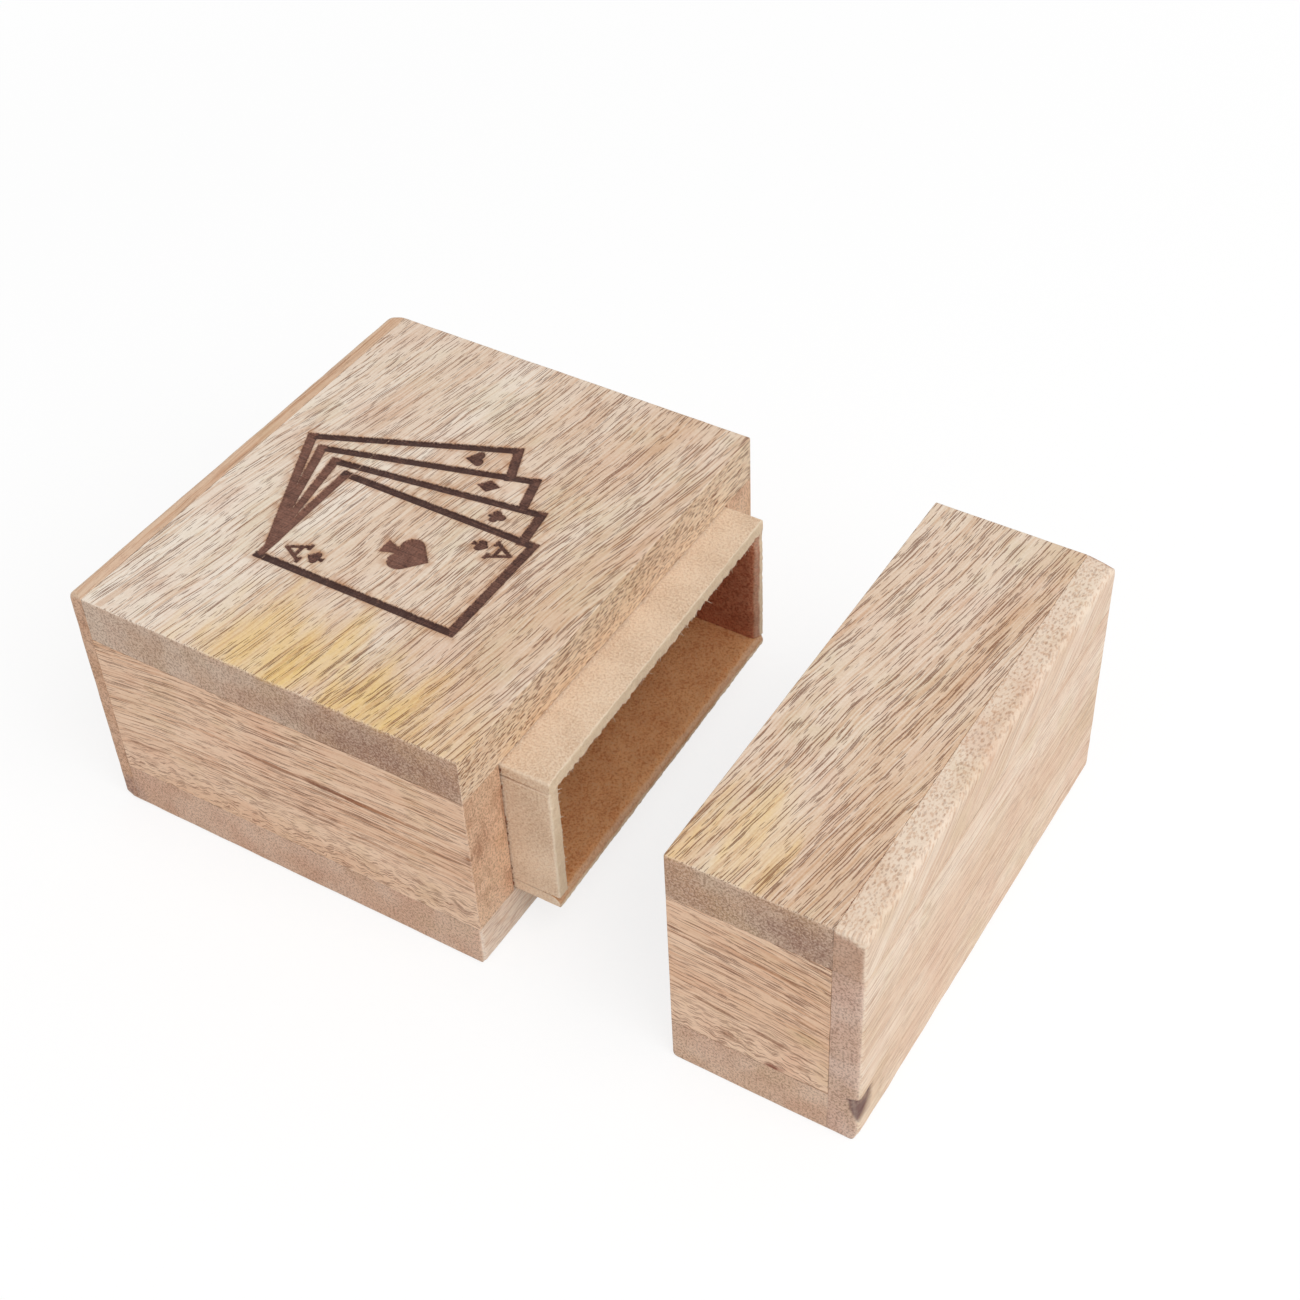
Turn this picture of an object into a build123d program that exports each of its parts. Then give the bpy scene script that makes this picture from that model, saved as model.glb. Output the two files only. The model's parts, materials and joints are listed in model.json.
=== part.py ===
# A wooden box for one deck of playing cards, cut across into a case and a cap.
# Four thin panels glued in the case stand proud of its mouth as a sleeve, and the cap slides over them.
# Millimetres. +X is the way the cap pulls off, +Y the far side, +Z up.
# The origin is the centre of the case's underside.
from build123d import *
from math import asin, atan2, cos, hypot, radians, sin, sqrt
import os

# Outside of the box
box_width = 90.0
box_height = 49.0
case_length = 78.0
cap_length = 33.0

# Boards
top_board = 9.2
bottom_board = 9.2
near_side_board = 9.8
far_side_board = 8.4
case_end_thickness = 3.0
cap_end_thickness = 5.3

# Sleeve: four panels, and how far they stand out of the case along each side
panel = 2.5
proud_near = 9.2
proud_far = 7.4
sleeve_play = 0.3
panel_edge_radius = 0.7

# How the cap sits: pushed home it stops this far from the case, and at rest it is drawn off clear of the sleeve
seam_gap = 0.15
drawn_off_gap = 27.0

# Sanded edges
end_edge_radius = 2.0
end_corner_radius = 1.2
long_edge_radius = 0.5

# Knot hole in the low near corner of the cap's end
knot_height = 7.0
knot_half_height = 4.0
knot_depth = 1.4
knot_reach = 4.5

# Burnt figure: four fanned cards on the case's top, its pivot corner placed from the closed end and near face
burn_depth = 0.35
figure_from_end = 20.5
figure_from_side = 22.3
card_length = 40.8
card_width = 25.6
card_line = 1.5
pivot_line = 2.0
ace_size = 9.1
ace_shift = 2.0
index_from_end = 5.2
index_from_side = 4.8
index_step = 3.9
index_size = 3.2
letter_height = 4.4
letter_width = 3.8
letter_line = 0.75
serif_length = 1.7
# The three cards behind: slope of the long edge in degrees, where that edge starts, and its length
fan_slopes = (7.7, 15.3, 22.3)
fan_starts = ((-3.1, 26.7), (-7.3, 28.5), (-10.9, 30.4))
fan_lengths = (40.2, 39.7, 37.4)
fan_drop = 7.4
sign_from_end = 7.5
sign_below_edge = 3.1

# Sizes that follow
case_closed_end = -case_length / 2
case_mouth = case_length / 2
near_face = -box_width / 2
far_face = box_width / 2
cavity_near = near_face + near_side_board
cavity_far = far_face - far_side_board
cavity_floor = bottom_board
cavity_ceiling = box_height - top_board
sleeve_near = cavity_near + sleeve_play
sleeve_far = cavity_far - sleeve_play
sleeve_low = cavity_floor + sleeve_play
sleeve_high = cavity_ceiling - sleeve_play
case_end_inside = case_closed_end + case_end_thickness
cap_mouth = case_mouth + max(proud_near, proud_far) + drawn_off_gap
cap_closed_end = cap_mouth + cap_length
cap_end_inside = cap_closed_end - cap_end_thickness
cap_travel = cap_mouth - case_mouth - seam_gap


def block(x0, x1, y0, y1, z0, z1):
    """A rectangular solid between two corners."""
    return Pos((x0 + x1) / 2, (y0 + y1) / 2, (z0 + z1) / 2) * Box(x1 - x0, y1 - y0, z1 - z0)


def edges_at(solid, axis, places):
    """The edges along one axis that lie on all the given faces, each an axis and a place on it."""
    found = solid.edges().filter_by(axis)
    for across, value in places:
        found = found.filter_by_position(across, value - 0.01, value + 0.01)
    return found


def long_edges_sanded(solid, ys, z):
    """Break a board's outer edges that run along the box."""
    edges = []
    for y in ys:
        edges += edges_at(solid, Axis.X, [(Axis.Y, y), (Axis.Z, z)])
    return fillet(edges, long_edge_radius)


def side_board(x0, x1, y0, y1):
    """A side board, standing between the bottom board and the top board."""
    return block(x0, x1, y0, y1, cavity_floor, cavity_ceiling)


def end_plate(inside, outside, z0, z1, rounded_levels):
    """A board over a closed end, its outer edges sanded round."""
    plate = block(min(inside, outside), max(inside, outside), near_face, far_face, z0, z1)
    corners = []
    for y in (near_face, far_face):
        corners += edges_at(plate, Axis.Z, [(Axis.X, outside), (Axis.Y, y)])
    plate = fillet(corners, min(end_corner_radius, 0.8 * abs(outside - inside)))
    crossing = []
    for z in rounded_levels:
        crossing += plate.edges().filter_by_position(Axis.Z, z - 0.01, z + 0.01).filter_by(
            lambda edge: abs(edge.center().X - inside) > 0.3 * abs(outside - inside)
            and edge.geom_type == GeomType.LINE and edge.length > box_width / 2)
    return fillet(crossing, min(end_edge_radius, 0.8 * abs(outside - inside)))


def sleeve_plan(y0, y1, z0, z1):
    """A sleeve panel seen from above: square in the case, its outer end cut a little askew."""
    def proud(y):
        share = (y - sleeve_near) / (sleeve_far - sleeve_near)
        return case_mouth + proud_near + share * (proud_far - proud_near)

    outline = Polyline(
        (case_end_inside, y0), (case_end_inside, y1), (proud(y1), y1), (proud(y0), y0), close=True)
    return Pos(0, 0, z0) * extrude(make_face(outline), z1 - z0)


def sleeve_flat(z0, z1, outer_z):
    """The top or bottom panel, as wide as the sleeve, its long outer edges eased."""
    flat = sleeve_plan(sleeve_near, sleeve_far, z0, z1)
    edges = []
    for y in (sleeve_near, sleeve_far):
        edges += edges_at(flat, Axis.X, [(Axis.Y, y), (Axis.Z, outer_z)])
    return fillet(edges, panel_edge_radius)


def sleeve_side(y0, y1):
    """A side panel, standing between the sleeve's bottom panel and its top panel."""
    return sleeve_plan(y0, y1, sleeve_low + panel, sleeve_high - panel)


def stroke(start, end, width):
    """A straight burnt line, its ends square."""
    run = Vector(end) - Vector(start)
    middle = (Vector(end) + Vector(start)) * 0.5
    angle = Vector(1, 0, 0).get_signed_angle(run, Vector(0, 0, 1))
    return Pos(middle.X, middle.Y) * Rot(0, 0, angle) * Rectangle(run.length + width, width)


def lobed_tip(size, lobe_place, tip_place):
    """Two round lobes drawn to a tip on +X, as in a spade and a heart."""
    lobe = 0.24 * size
    apart = 0.2 * size
    reach = hypot(tip_place - lobe_place, apart)
    turn = atan2(apart, tip_place - lobe_place) + asin(lobe / reach)
    side_length = sqrt(reach ** 2 - lobe ** 2)
    touch = (tip_place - side_length * cos(turn), side_length * sin(turn))
    middle = make_face(Polyline(
        (tip_place, 0), touch, (lobe_place, apart),
        (lobe_place, -apart), (touch[0], -touch[1]), close=True))
    return middle + Pos(lobe_place, apart) * Circle(lobe) + Pos(lobe_place, -apart) * Circle(lobe)


def spade(size):
    """A spade whose tip points along +X, size long with its stem."""
    stem = make_face(Polyline(
        (-0.5 * size, 0.18 * size), (-0.1 * size, 0.045 * size),
        (-0.1 * size, -0.045 * size), (-0.5 * size, -0.18 * size), close=True))
    return lobed_tip(size, 0, 0.5 * size) + stem


def heart(size):
    """A heart whose point is along +X."""
    return lobed_tip(size, -0.2 * size, 0.5 * size)


def diamond(size):
    """A diamond with its long diagonal along X."""
    return make_face(Polyline(
        (0.6 * size, 0), (0, 0.42 * size), (-0.6 * size, 0), (0, -0.42 * size), close=True))


def club(size):
    """A club whose stem points along -X."""
    leaf = 0.22 * size
    leaves = Pos(0.26 * size, 0) * Circle(leaf)
    for side in (-1, 1):
        leaves += Pos(-0.1 * size, side * 0.25 * size) * Circle(leaf)
    stem = make_face(Polyline(
        (-0.5 * size, 0.14 * size), (0.2 * size, 0.07 * size),
        (0.2 * size, -0.07 * size), (-0.5 * size, -0.14 * size), close=True))
    return leaves + stem


def letter_a():
    """A letter A with short feet, its apex along +X and centred on the origin."""
    apex = (letter_height / 2, 0)
    letter = None
    for side in (-1, 1):
        foot = (-letter_height / 2 + letter_line, side * letter_width / 2)
        leg = stroke(foot, apex, letter_line)
        serif = Pos(foot[0] - letter_line / 2, foot[1]) * Rectangle(letter_line, serif_length)
        letter = leg + serif if letter is None else letter + leg + serif
    bar_place = -0.1 * letter_height
    return letter + Pos(bar_place, 0) * Rectangle(letter_line, 0.62 * letter_width)


def card_index(place_x, place_y, turn):
    """The rank letter with a spade under it, in one corner of the front card."""
    index = letter_a() + Pos(-index_step, 0) * spade(index_size)
    return Pos(place_x, place_y) * Rot(0, 0, turn) * index


def front_card():
    """The whole card in front: its frame, the large spade and two corner indices."""
    middle = Pos(card_length / 2, card_width / 2)
    inner_length = card_length - card_line - pivot_line
    window = Pos((pivot_line - card_line) / 2, 0) * Rectangle(inner_length, card_width - 2 * card_line)
    face = Rectangle(card_length, card_width) - window + Pos(ace_shift, 0) * spade(ace_size)
    along = card_length / 2 - index_from_end
    aside = card_width / 2 - index_from_side
    return middle * (face + card_index(along, aside, 0) + card_index(-along, -aside, 180))


def back_card(slope, start, length, sign):
    """What shows of a card in the fan: its long edge, its short edge, its edge to the pivot, and its sign."""
    along = Vector(cos(radians(slope)), sin(radians(slope)))
    down = Vector(sin(radians(slope)), -cos(radians(slope)))
    first = Vector(*start)
    last = first + along * length
    pivot = Vector(card_line / 2, 2 * card_line)
    lines = stroke(first, last, card_line) + stroke(last, last + down * fan_drop, card_line)
    place = last - along * sign_from_end + down * sign_below_edge
    return lines + stroke(first, pivot, card_line) + Pos(place) * Rot(0, 0, slope) * sign


def fanned_figure():
    """All four cards, measured from the pivot corner of the front card."""
    figure = front_card()
    signs = (club(index_size), diamond(index_size), heart(index_size))
    for slope, start, length, sign in zip(fan_slopes, fan_starts, fan_lengths, signs):
        figure += back_card(slope, start, length, sign)
    return figure


def case_top_board():
    board = block(case_end_inside, case_mouth, near_face, far_face, cavity_ceiling, box_height)
    board = long_edges_sanded(board, (near_face, far_face), box_height)
    figure_corner = Pos(case_closed_end + figure_from_end, near_face + figure_from_side, box_height)
    return board - figure_corner * extrude(fanned_figure(), -burn_depth)


def case_bottom_board():
    board = block(case_end_inside, case_mouth, near_face, far_face, 0, cavity_floor)
    return long_edges_sanded(board, (near_face, far_face), 0)


def cap_top_board():
    board = block(cap_mouth, cap_end_inside, near_face, far_face, cavity_ceiling, box_height)
    return long_edges_sanded(board, (near_face, far_face), box_height)


def cap_bottom_board():
    board = block(cap_mouth, cap_end_inside, near_face, far_face, 0, cavity_floor)
    return long_edges_sanded(board, (near_face, far_face), 0)


def cap_end_board():
    """The lower board over the cap's end, with a knot hole broken out of its near edge."""
    board = end_plate(cap_end_inside, cap_closed_end, 0, cavity_ceiling, (0,))
    hole = Plane.XZ.offset(-near_face) * make_face(Polyline(
        (cap_closed_end + 1, knot_height + knot_half_height),
        (cap_closed_end - knot_depth, knot_height + 0.2 * knot_half_height),
        (cap_closed_end - knot_depth, knot_height - 0.6 * knot_half_height),
        (cap_closed_end + 1, knot_height - knot_half_height), close=True))
    return board - extrude(hole, knot_reach, dir=(0, 1, 0), taper=12)


nodes = {
    "case_top_board": case_top_board(),
    "case_bottom_board": case_bottom_board(),
    "case_near_side": side_board(case_end_inside, case_mouth, near_face, cavity_near),
    "case_far_side": side_board(case_end_inside, case_mouth, cavity_far, far_face),
    "case_end_board": end_plate(case_end_inside, case_closed_end, 0, box_height, (0, box_height)),
    "sleeve_top_panel": sleeve_flat(sleeve_high - panel, sleeve_high, sleeve_high),
    "sleeve_bottom_panel": sleeve_flat(sleeve_low, sleeve_low + panel, sleeve_low),
    "sleeve_near_panel": sleeve_side(sleeve_near, sleeve_near + panel),
    "sleeve_far_panel": sleeve_side(sleeve_far - panel, sleeve_far),
    "cap_top_board": cap_top_board(),
    "cap_bottom_board": cap_bottom_board(),
    "cap_near_side": side_board(cap_mouth, cap_end_inside, near_face, cavity_near),
    "cap_far_side": side_board(cap_mouth, cap_end_inside, cavity_far, far_face),
    "cap_end_board": cap_end_board(),
    "cap_end_strip": end_plate(cap_end_inside, cap_closed_end, cavity_ceiling, box_height, (box_height,)),
}

os.makedirs("parts", exist_ok=True)
for name, shape in nodes.items():
    export_step(shape, f"parts/{name}.step")
    print(name, round(shape.volume, 1), "mm3")
print("cap travel", round(cap_travel, 2), "mm, from drawn off to home")
print("card space", round(cap_end_inside - cap_mouth + case_mouth - case_end_inside, 1), "mm long when closed")
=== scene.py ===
# %% [markdown]
# A wooden box for a deck of playing cards, cut across into a case and a cap. The solids come from the
# construction model. This notebook dresses them: it loads them as a fixed frame, and gives every board a
# sanded skin with its own grain, a burnt figure on the top, and a sleeve of raw fibreboard.

# %% Load the frame
import json
from math import cos, pi, radians, sin

import bpy
import numpy as np
from mathutils import Matrix, Vector, noise


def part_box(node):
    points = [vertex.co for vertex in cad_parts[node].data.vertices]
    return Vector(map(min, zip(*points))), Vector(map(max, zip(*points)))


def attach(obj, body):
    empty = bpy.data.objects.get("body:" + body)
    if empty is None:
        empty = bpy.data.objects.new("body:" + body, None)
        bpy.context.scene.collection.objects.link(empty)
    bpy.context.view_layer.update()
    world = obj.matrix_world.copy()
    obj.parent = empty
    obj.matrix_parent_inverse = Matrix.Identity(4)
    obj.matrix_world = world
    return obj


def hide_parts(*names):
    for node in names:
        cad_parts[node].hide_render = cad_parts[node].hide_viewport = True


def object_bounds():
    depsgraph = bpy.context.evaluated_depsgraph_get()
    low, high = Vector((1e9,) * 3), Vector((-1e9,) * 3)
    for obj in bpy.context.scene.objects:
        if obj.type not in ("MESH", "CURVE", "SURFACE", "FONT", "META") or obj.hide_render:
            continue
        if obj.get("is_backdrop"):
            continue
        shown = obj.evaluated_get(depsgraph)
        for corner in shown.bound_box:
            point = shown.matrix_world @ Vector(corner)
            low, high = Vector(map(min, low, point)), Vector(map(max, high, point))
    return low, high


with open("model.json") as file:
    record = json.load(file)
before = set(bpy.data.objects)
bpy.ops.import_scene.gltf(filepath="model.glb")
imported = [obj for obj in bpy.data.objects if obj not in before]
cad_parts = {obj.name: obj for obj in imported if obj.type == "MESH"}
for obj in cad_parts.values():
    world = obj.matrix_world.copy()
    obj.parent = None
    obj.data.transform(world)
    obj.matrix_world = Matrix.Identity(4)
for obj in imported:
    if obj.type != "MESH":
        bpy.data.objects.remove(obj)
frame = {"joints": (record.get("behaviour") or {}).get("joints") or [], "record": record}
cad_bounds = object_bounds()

MM = 0.001
home_shift = frame["joints"][0]["range_m"][0]
body_of = {node: body for body, nodes in frame["record"]["behaviour"]["bodies"].items() for node in nodes}


def node_box(node):
    """A node's corners in millimetres."""
    low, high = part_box(node)
    return np.array(low) / MM, np.array(high) / MM


# %% [markdown]
# The camera stands where the photographer stood. Its place and angles were worked out from the corners of
# both halves of the box, so the case falls on the picture as it does in the photograph. A long lens and a
# small shift are part of that answer. The camera comes first, because everything is seen through it.

# %% Camera
camera_place = Vector((0.1867, -0.2151, 0.2869))
looks_down, turns, leans = radians(43.16), radians(-31.22), radians(-1.44)
camera_lens = 59.84
camera_shift = (-0.0437, -0.0278)
nearest_seen = 0.01

forward = Vector((sin(turns) * cos(looks_down), cos(turns) * cos(looks_down), -sin(looks_down)))
level = Vector((cos(turns), -sin(turns), 0))
upright = level.cross(forward)
right = level * cos(leans) + upright * sin(leans)
up = upright * cos(leans) - level * sin(leans)

camera = bpy.data.objects.new("camera", bpy.data.cameras.new("camera"))
bpy.context.scene.collection.objects.link(camera)
camera.data.lens = camera_lens
camera.data.shift_x, camera.data.shift_y = camera_shift
camera.data.clip_start = nearest_seen
turned = Matrix((right, up, -forward)).transposed().to_4x4()
camera.matrix_world = Matrix.Translation(camera_place) @ turned
bpy.context.scene.camera = camera
print("camera", round(camera_place.length, 3), "m from the middle of the box, lens", camera_lens, "mm")

# %% [markdown]
# Shader maths reads best as sums. A small class wraps a node's socket, so that 1 - mask or a * b adds the
# Math node by itself. Colours are written as they are seen, from 0 to 255, and turned into the linear
# numbers that light is reckoned with.

# %% Sums of sockets


def linear(red, green, blue):
    """A colour read off the picture, 0 to 255, as the shader wants it."""
    parts = [value / 255 for value in (red, green, blue)]
    parts = [p / 12.92 if p <= 0.04045 else ((p + 0.055) / 1.055) ** 2.4 for p in parts]
    return (*parts, 1.0)


class Wire:
    """A socket that takes part in Python sums."""

    def __init__(self, finish, socket):
        self.finish = finish
        self.socket = socket

    def math(self, operation, *values):
        inputs = dict(enumerate(values))
        return self.finish.node("ShaderNodeMath", {"operation": operation}, inputs)

    def __add__(self, other):
        return self.math("ADD", self, other)

    def __radd__(self, other):
        return self.math("ADD", other, self)

    def __sub__(self, other):
        return self.math("SUBTRACT", self, other)

    def __rsub__(self, other):
        return self.math("SUBTRACT", other, self)

    def __mul__(self, other):
        return self.math("MULTIPLY", self, other)

    def __rmul__(self, other):
        return self.math("MULTIPLY", other, self)

    def __truediv__(self, other):
        return self.math("DIVIDE", self, other)

    def __abs__(self):
        return self.math("ABSOLUTE", self)

    def highest(self, other):
        return self.math("MAXIMUM", self, other)

    def step(self, low, high):
        """0 below low, 1 above high, and smooth between."""
        inputs = {"Value": self, "From Min": low, "From Max": high}
        return self.finish.node("ShaderNodeMapRange", {"interpolation_type": "SMOOTHSTEP"}, inputs)


print("a mid grey, 128 of 255, is", round(linear(128, 128, 128)[0], 3), "in linear light")

# %% [markdown]
# A finish is a node tree under way. Every node that isn't a sum comes from one method, which sets the
# node's options first and then its sockets. The short methods after it name the few nodes that wood needs:
# noise for what is cloudy, cells for what has a clear edge, and a mix for each coat of colour.

# %% A finish


class Finish:
    """The node tree of a material or of the world, under way."""

    def __init__(self, owner):
        owner.use_nodes = True
        self.owner = owner
        self.tree = owner.node_tree
        self.tree.nodes.clear()

    def node(self, kind, settings=None, inputs=None, output=0):
        """Add a node, set its options, then its sockets, and return one of its outputs."""
        made = self.tree.nodes.new(kind)
        for option, value in (settings or {}).items():
            setattr(made, option, value)
        for socket, value in (inputs or {}).items():
            if isinstance(value, Wire):
                self.tree.links.new(value.socket, made.inputs[socket])
            else:
                made.inputs[socket].default_value = value
        return Wire(self, made.outputs[output]) if made.outputs else None

    def place(self):
        """Where a point lies on the object, in millimetres."""
        metres = self.node("ShaderNodeTexCoord", output="Object")
        return self.vector("SCALE", metres, scale=1 / MM)

    def vector(self, operation, a, b=None, scale=None, output=0):
        inputs = {0: a}
        if b is not None:
            inputs[1] = b
        if scale is not None:
            inputs["Scale"] = scale
        return self.node("ShaderNodeVectorMath", {"operation": operation}, inputs, output)

    def dot(self, a, b):
        return self.vector("DOT_PRODUCT", a, b, output="Value")

    def join(self, x, y, z):
        return self.node("ShaderNodeCombineXYZ", None, {0: x, 1: y, 2: z})

    def noise(self, where, size=1.0, detail=2.0, rough=0.5):
        """Soft clouds, from 0 to 1. Size is a cloud's width in millimetres."""
        inputs = {"Vector": where, "Scale": 1 / size, "Detail": detail, "Roughness": rough}
        return self.node("ShaderNodeTexNoise", None, inputs)

    def cells(self, where):
        """Distance to the nearest of many scattered points, one to each unit cell."""
        return self.node("ShaderNodeTexVoronoi", {"feature": "F1"}, {"Vector": where, "Scale": 1.0})

    def mix(self, a, b, share, blend="MIX"):
        settings = {"data_type": "RGBA", "blend_type": blend}
        return self.node("ShaderNodeMix", settings, {0: share, 6: a, 7: b}, output=2)

    def tinted(self, colour, tint):
        return self.mix(colour, tint, 1.0, "MULTIPLY")

    def normal(self):
        return self.node("ShaderNodeTexCoord", output="Normal")

    def facing(self, direction, low=0.6, high=0.9):
        """1 on faces that look in a direction, and 0 on the others."""
        return self.dot(self.normal(), direction).step(low, high)

    def attribute(self, name):
        return self.node("ShaderNodeAttribute", {"attribute_name": name}, output="Fac")

    def surface(self, colour, roughness, height, depth, specular=0.3):
        """Close the material: a rough surface with its relief, depth metres from dark to light."""
        bump = self.node("ShaderNodeBump", None, {"Strength": 1.0, "Distance": depth, "Height": height})
        inputs = {"Base Color": colour, "Roughness": roughness, "Normal": bump,
                  "Specular IOR Level": specular}
        shader = self.node("ShaderNodeBsdfPrincipled", None, inputs)
        self.node("ShaderNodeOutputMaterial", None, {"Surface": shader})
        print("finish", self.owner.name, "of", len(self.tree.nodes), "nodes")
        return self.owner


def new_finish(name):
    return Finish(bpy.data.materials.new(name))


# %% [markdown]
# Light: a plain soft studio. A pale world lights the box from all round and a broad lamp overhead makes
# the tops lighter than the sides, as in the photograph. The floor is white to the camera and keeps a faint
# shadow. That white comes from the floor's own colour, so the lamps can stay at a level where a colour
# renders about as it is written.

# %% White floor and sky
white = (1, 1, 1, 1)
sky_level = 0.55
floor_lit = (0.85, 0.85, 0.85, 1)
floor_shadow = (0.26, 0.26, 0.26, 1)
floor_glow = 0.78
floor_fade = (180.0, 420.0)


def camera_sees(finish):
    """1 where a ray shows the surface itself, straight or in a gloss, and 0 where it only lights."""
    outputs = finish.node("ShaderNodeLightPath").socket.node.outputs
    straight, glossy, through = [Wire(finish, outputs[f"Is {kind} Ray"])
                                 for kind in ("Camera", "Glossy", "Transmission")]
    return straight.highest(glossy).highest(through)


def white_floor():
    """White to the camera with a faint shadow near the box, and a plain matt floor to the light."""
    finish = new_finish("white_floor")
    matt = finish.node("ShaderNodeBsdfDiffuse", None, {"Color": floor_lit})
    faint = finish.node("ShaderNodeBsdfDiffuse", None, {"Color": floor_shadow})
    glow = finish.node("ShaderNodeEmission", None, {"Color": white, "Strength": floor_glow})
    near = finish.node("ShaderNodeAddShader", None, {0: faint, 1: glow})
    far = finish.node("ShaderNodeEmission", None, {"Color": white, "Strength": 1.0})
    away = finish.vector("LENGTH", finish.place(), output="Value")
    shown = finish.node("ShaderNodeMixShader", None, {0: away.step(*floor_fade), 1: near, 2: far})
    both = finish.node("ShaderNodeMixShader", None, {0: camera_sees(finish), 1: matt, 2: shown})
    finish.node("ShaderNodeOutputMaterial", None, {"Surface": both})
    return finish.owner


def studio_world():
    finish = Finish(bpy.data.worlds.new("studio"))
    strength = camera_sees(finish) * (1 - sky_level) + sky_level
    sky = finish.node("ShaderNodeBackground", None, {"Color": white, "Strength": strength})
    finish.node("ShaderNodeOutputWorld", None, {"Surface": sky})
    return finish.owner


bpy.context.scene.world = studio_world()
bpy.context.scene.view_settings.view_transform = "Standard"
print("sky at", sky_level, "of white, and white to the camera")

# %% [markdown]
# The floor is one wide square just under the box, marked as backdrop because it isn't part of the object.
# The lamp is a square softbox. A big lamp gives soft shadows, and standing to the right of the camera it
# leaves the near side a little darker than the top, as in the photograph.

# %% Floor and lamp
floor_reach = 3.0
floor_drop = 0.02 * MM
lamp_power = 9.7
lamp_width = 1.1
lamp_place = Vector((0.90, -0.30, 1.08))
lamp_target = Vector((0.03, 0, 0.02))

floor_mesh = bpy.data.meshes.new("floor")
floor_corners = [(x * floor_reach, y * floor_reach, 0) for x, y in ((-1, -1), (1, -1), (1, 1), (-1, 1))]
floor_mesh.from_pydata(floor_corners, [], [(0, 1, 2, 3)])
floor_mesh.materials.append(white_floor())
floor = bpy.data.objects.new("floor", floor_mesh)
floor.location.z = -floor_drop
bpy.context.scene.collection.objects.link(floor)
floor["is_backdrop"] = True

lamp = bpy.data.objects.new("softbox", bpy.data.lights.new("softbox", "AREA"))
lamp.data.energy = lamp_power
lamp.data.size = lamp_width
lamp.location = lamp_place
lamp.rotation_euler = (lamp_target - lamp_place).to_track_quat("-Z", "Y").to_euler()
bpy.context.scene.collection.objects.link(lamp)
print("lamp of", lamp_power, "W,", lamp_width, "m wide, at", tuple(round(v, 2) for v in lamp_place))

# %% [markdown]
# Wood is a bundle of tubes. Its pores run along the grain, so one solid pattern, stretched along the grain
# and fine across it, gives dashes on the faces, dots on the end grain, and lines that carry round an edge.
# Each board has its own grain direction. The cap's boards are the other end of the case's, so their
# pattern is shifted by the cap's travel, and the grain runs on across the seam when the box is shut.

# %% Wood colours and grain directions
CREAM = linear(255, 242, 226)
BISCUIT = linear(225, 187, 151)
ROSE = linear(234, 196, 174)
# Painted light: the next colour lightens the top boards' cut face at the mouth.
PAINTED_MOUTH_LIGHT = linear(255, 228, 188)
OLIVE = linear(222, 206, 168)
LINE = linear(200, 144, 96)
PORE = linear(128, 66, 28)
BOLD_PORE = linear(84, 46, 28)
BROWN_CLOUD = linear(158, 110, 78)
HEARTWOOD = linear(247, 206, 124)
DARK_GRIT = linear(104, 66, 46)
JOINT = linear(98, 62, 44)
PLUM_DARK = linear(98, 62, 64)
DRY_END = (0.80, 0.70, 0.64, 1)
# The next tint darkens the cap's inner faces: partly their own browner tone, partly painted shade.
INSIDE_TONE_AND_SHADE = (0.74, 0.58, 0.45, 1)


def grain_frame(grain, tilt):
    """Three directions: along the grain, and two across it. Tilt leans the grain, in degrees."""
    lean, straight = sin(radians(tilt)), cos(radians(tilt))
    along, third = {
        "x": (Vector((straight, 0, lean)), Vector((0, 1, 0))),
        "y": (Vector((lean, straight, 0)), Vector((0, 0, 1))),
        "z": (Vector((0, lean, straight)), Vector((1, 0, 0))),
    }[grain]
    return along, along.cross(third), third


# %% [markdown]
# Every pattern in the wood is drawn in the grain's own coordinates, one along the grain and two across it.
# Dividing them by a length and a width stretches a pattern into fibres. One slow sway moves them all, so
# that the lines bend together as real ones do. A board cut near the heart also arches, and one that grew
# round a branch curls at its lower edge. Both are small pushes on the same coordinates.

# %% Coordinates of the grain
pattern_gap = (37.0, 11.0, 23.0)
sway_size, sway_reach = 42.0, 4.0
wobble_size, wobble_reach = 7.0, 0.5
curl_size, curl_reach = 2.6, 2.4


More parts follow.
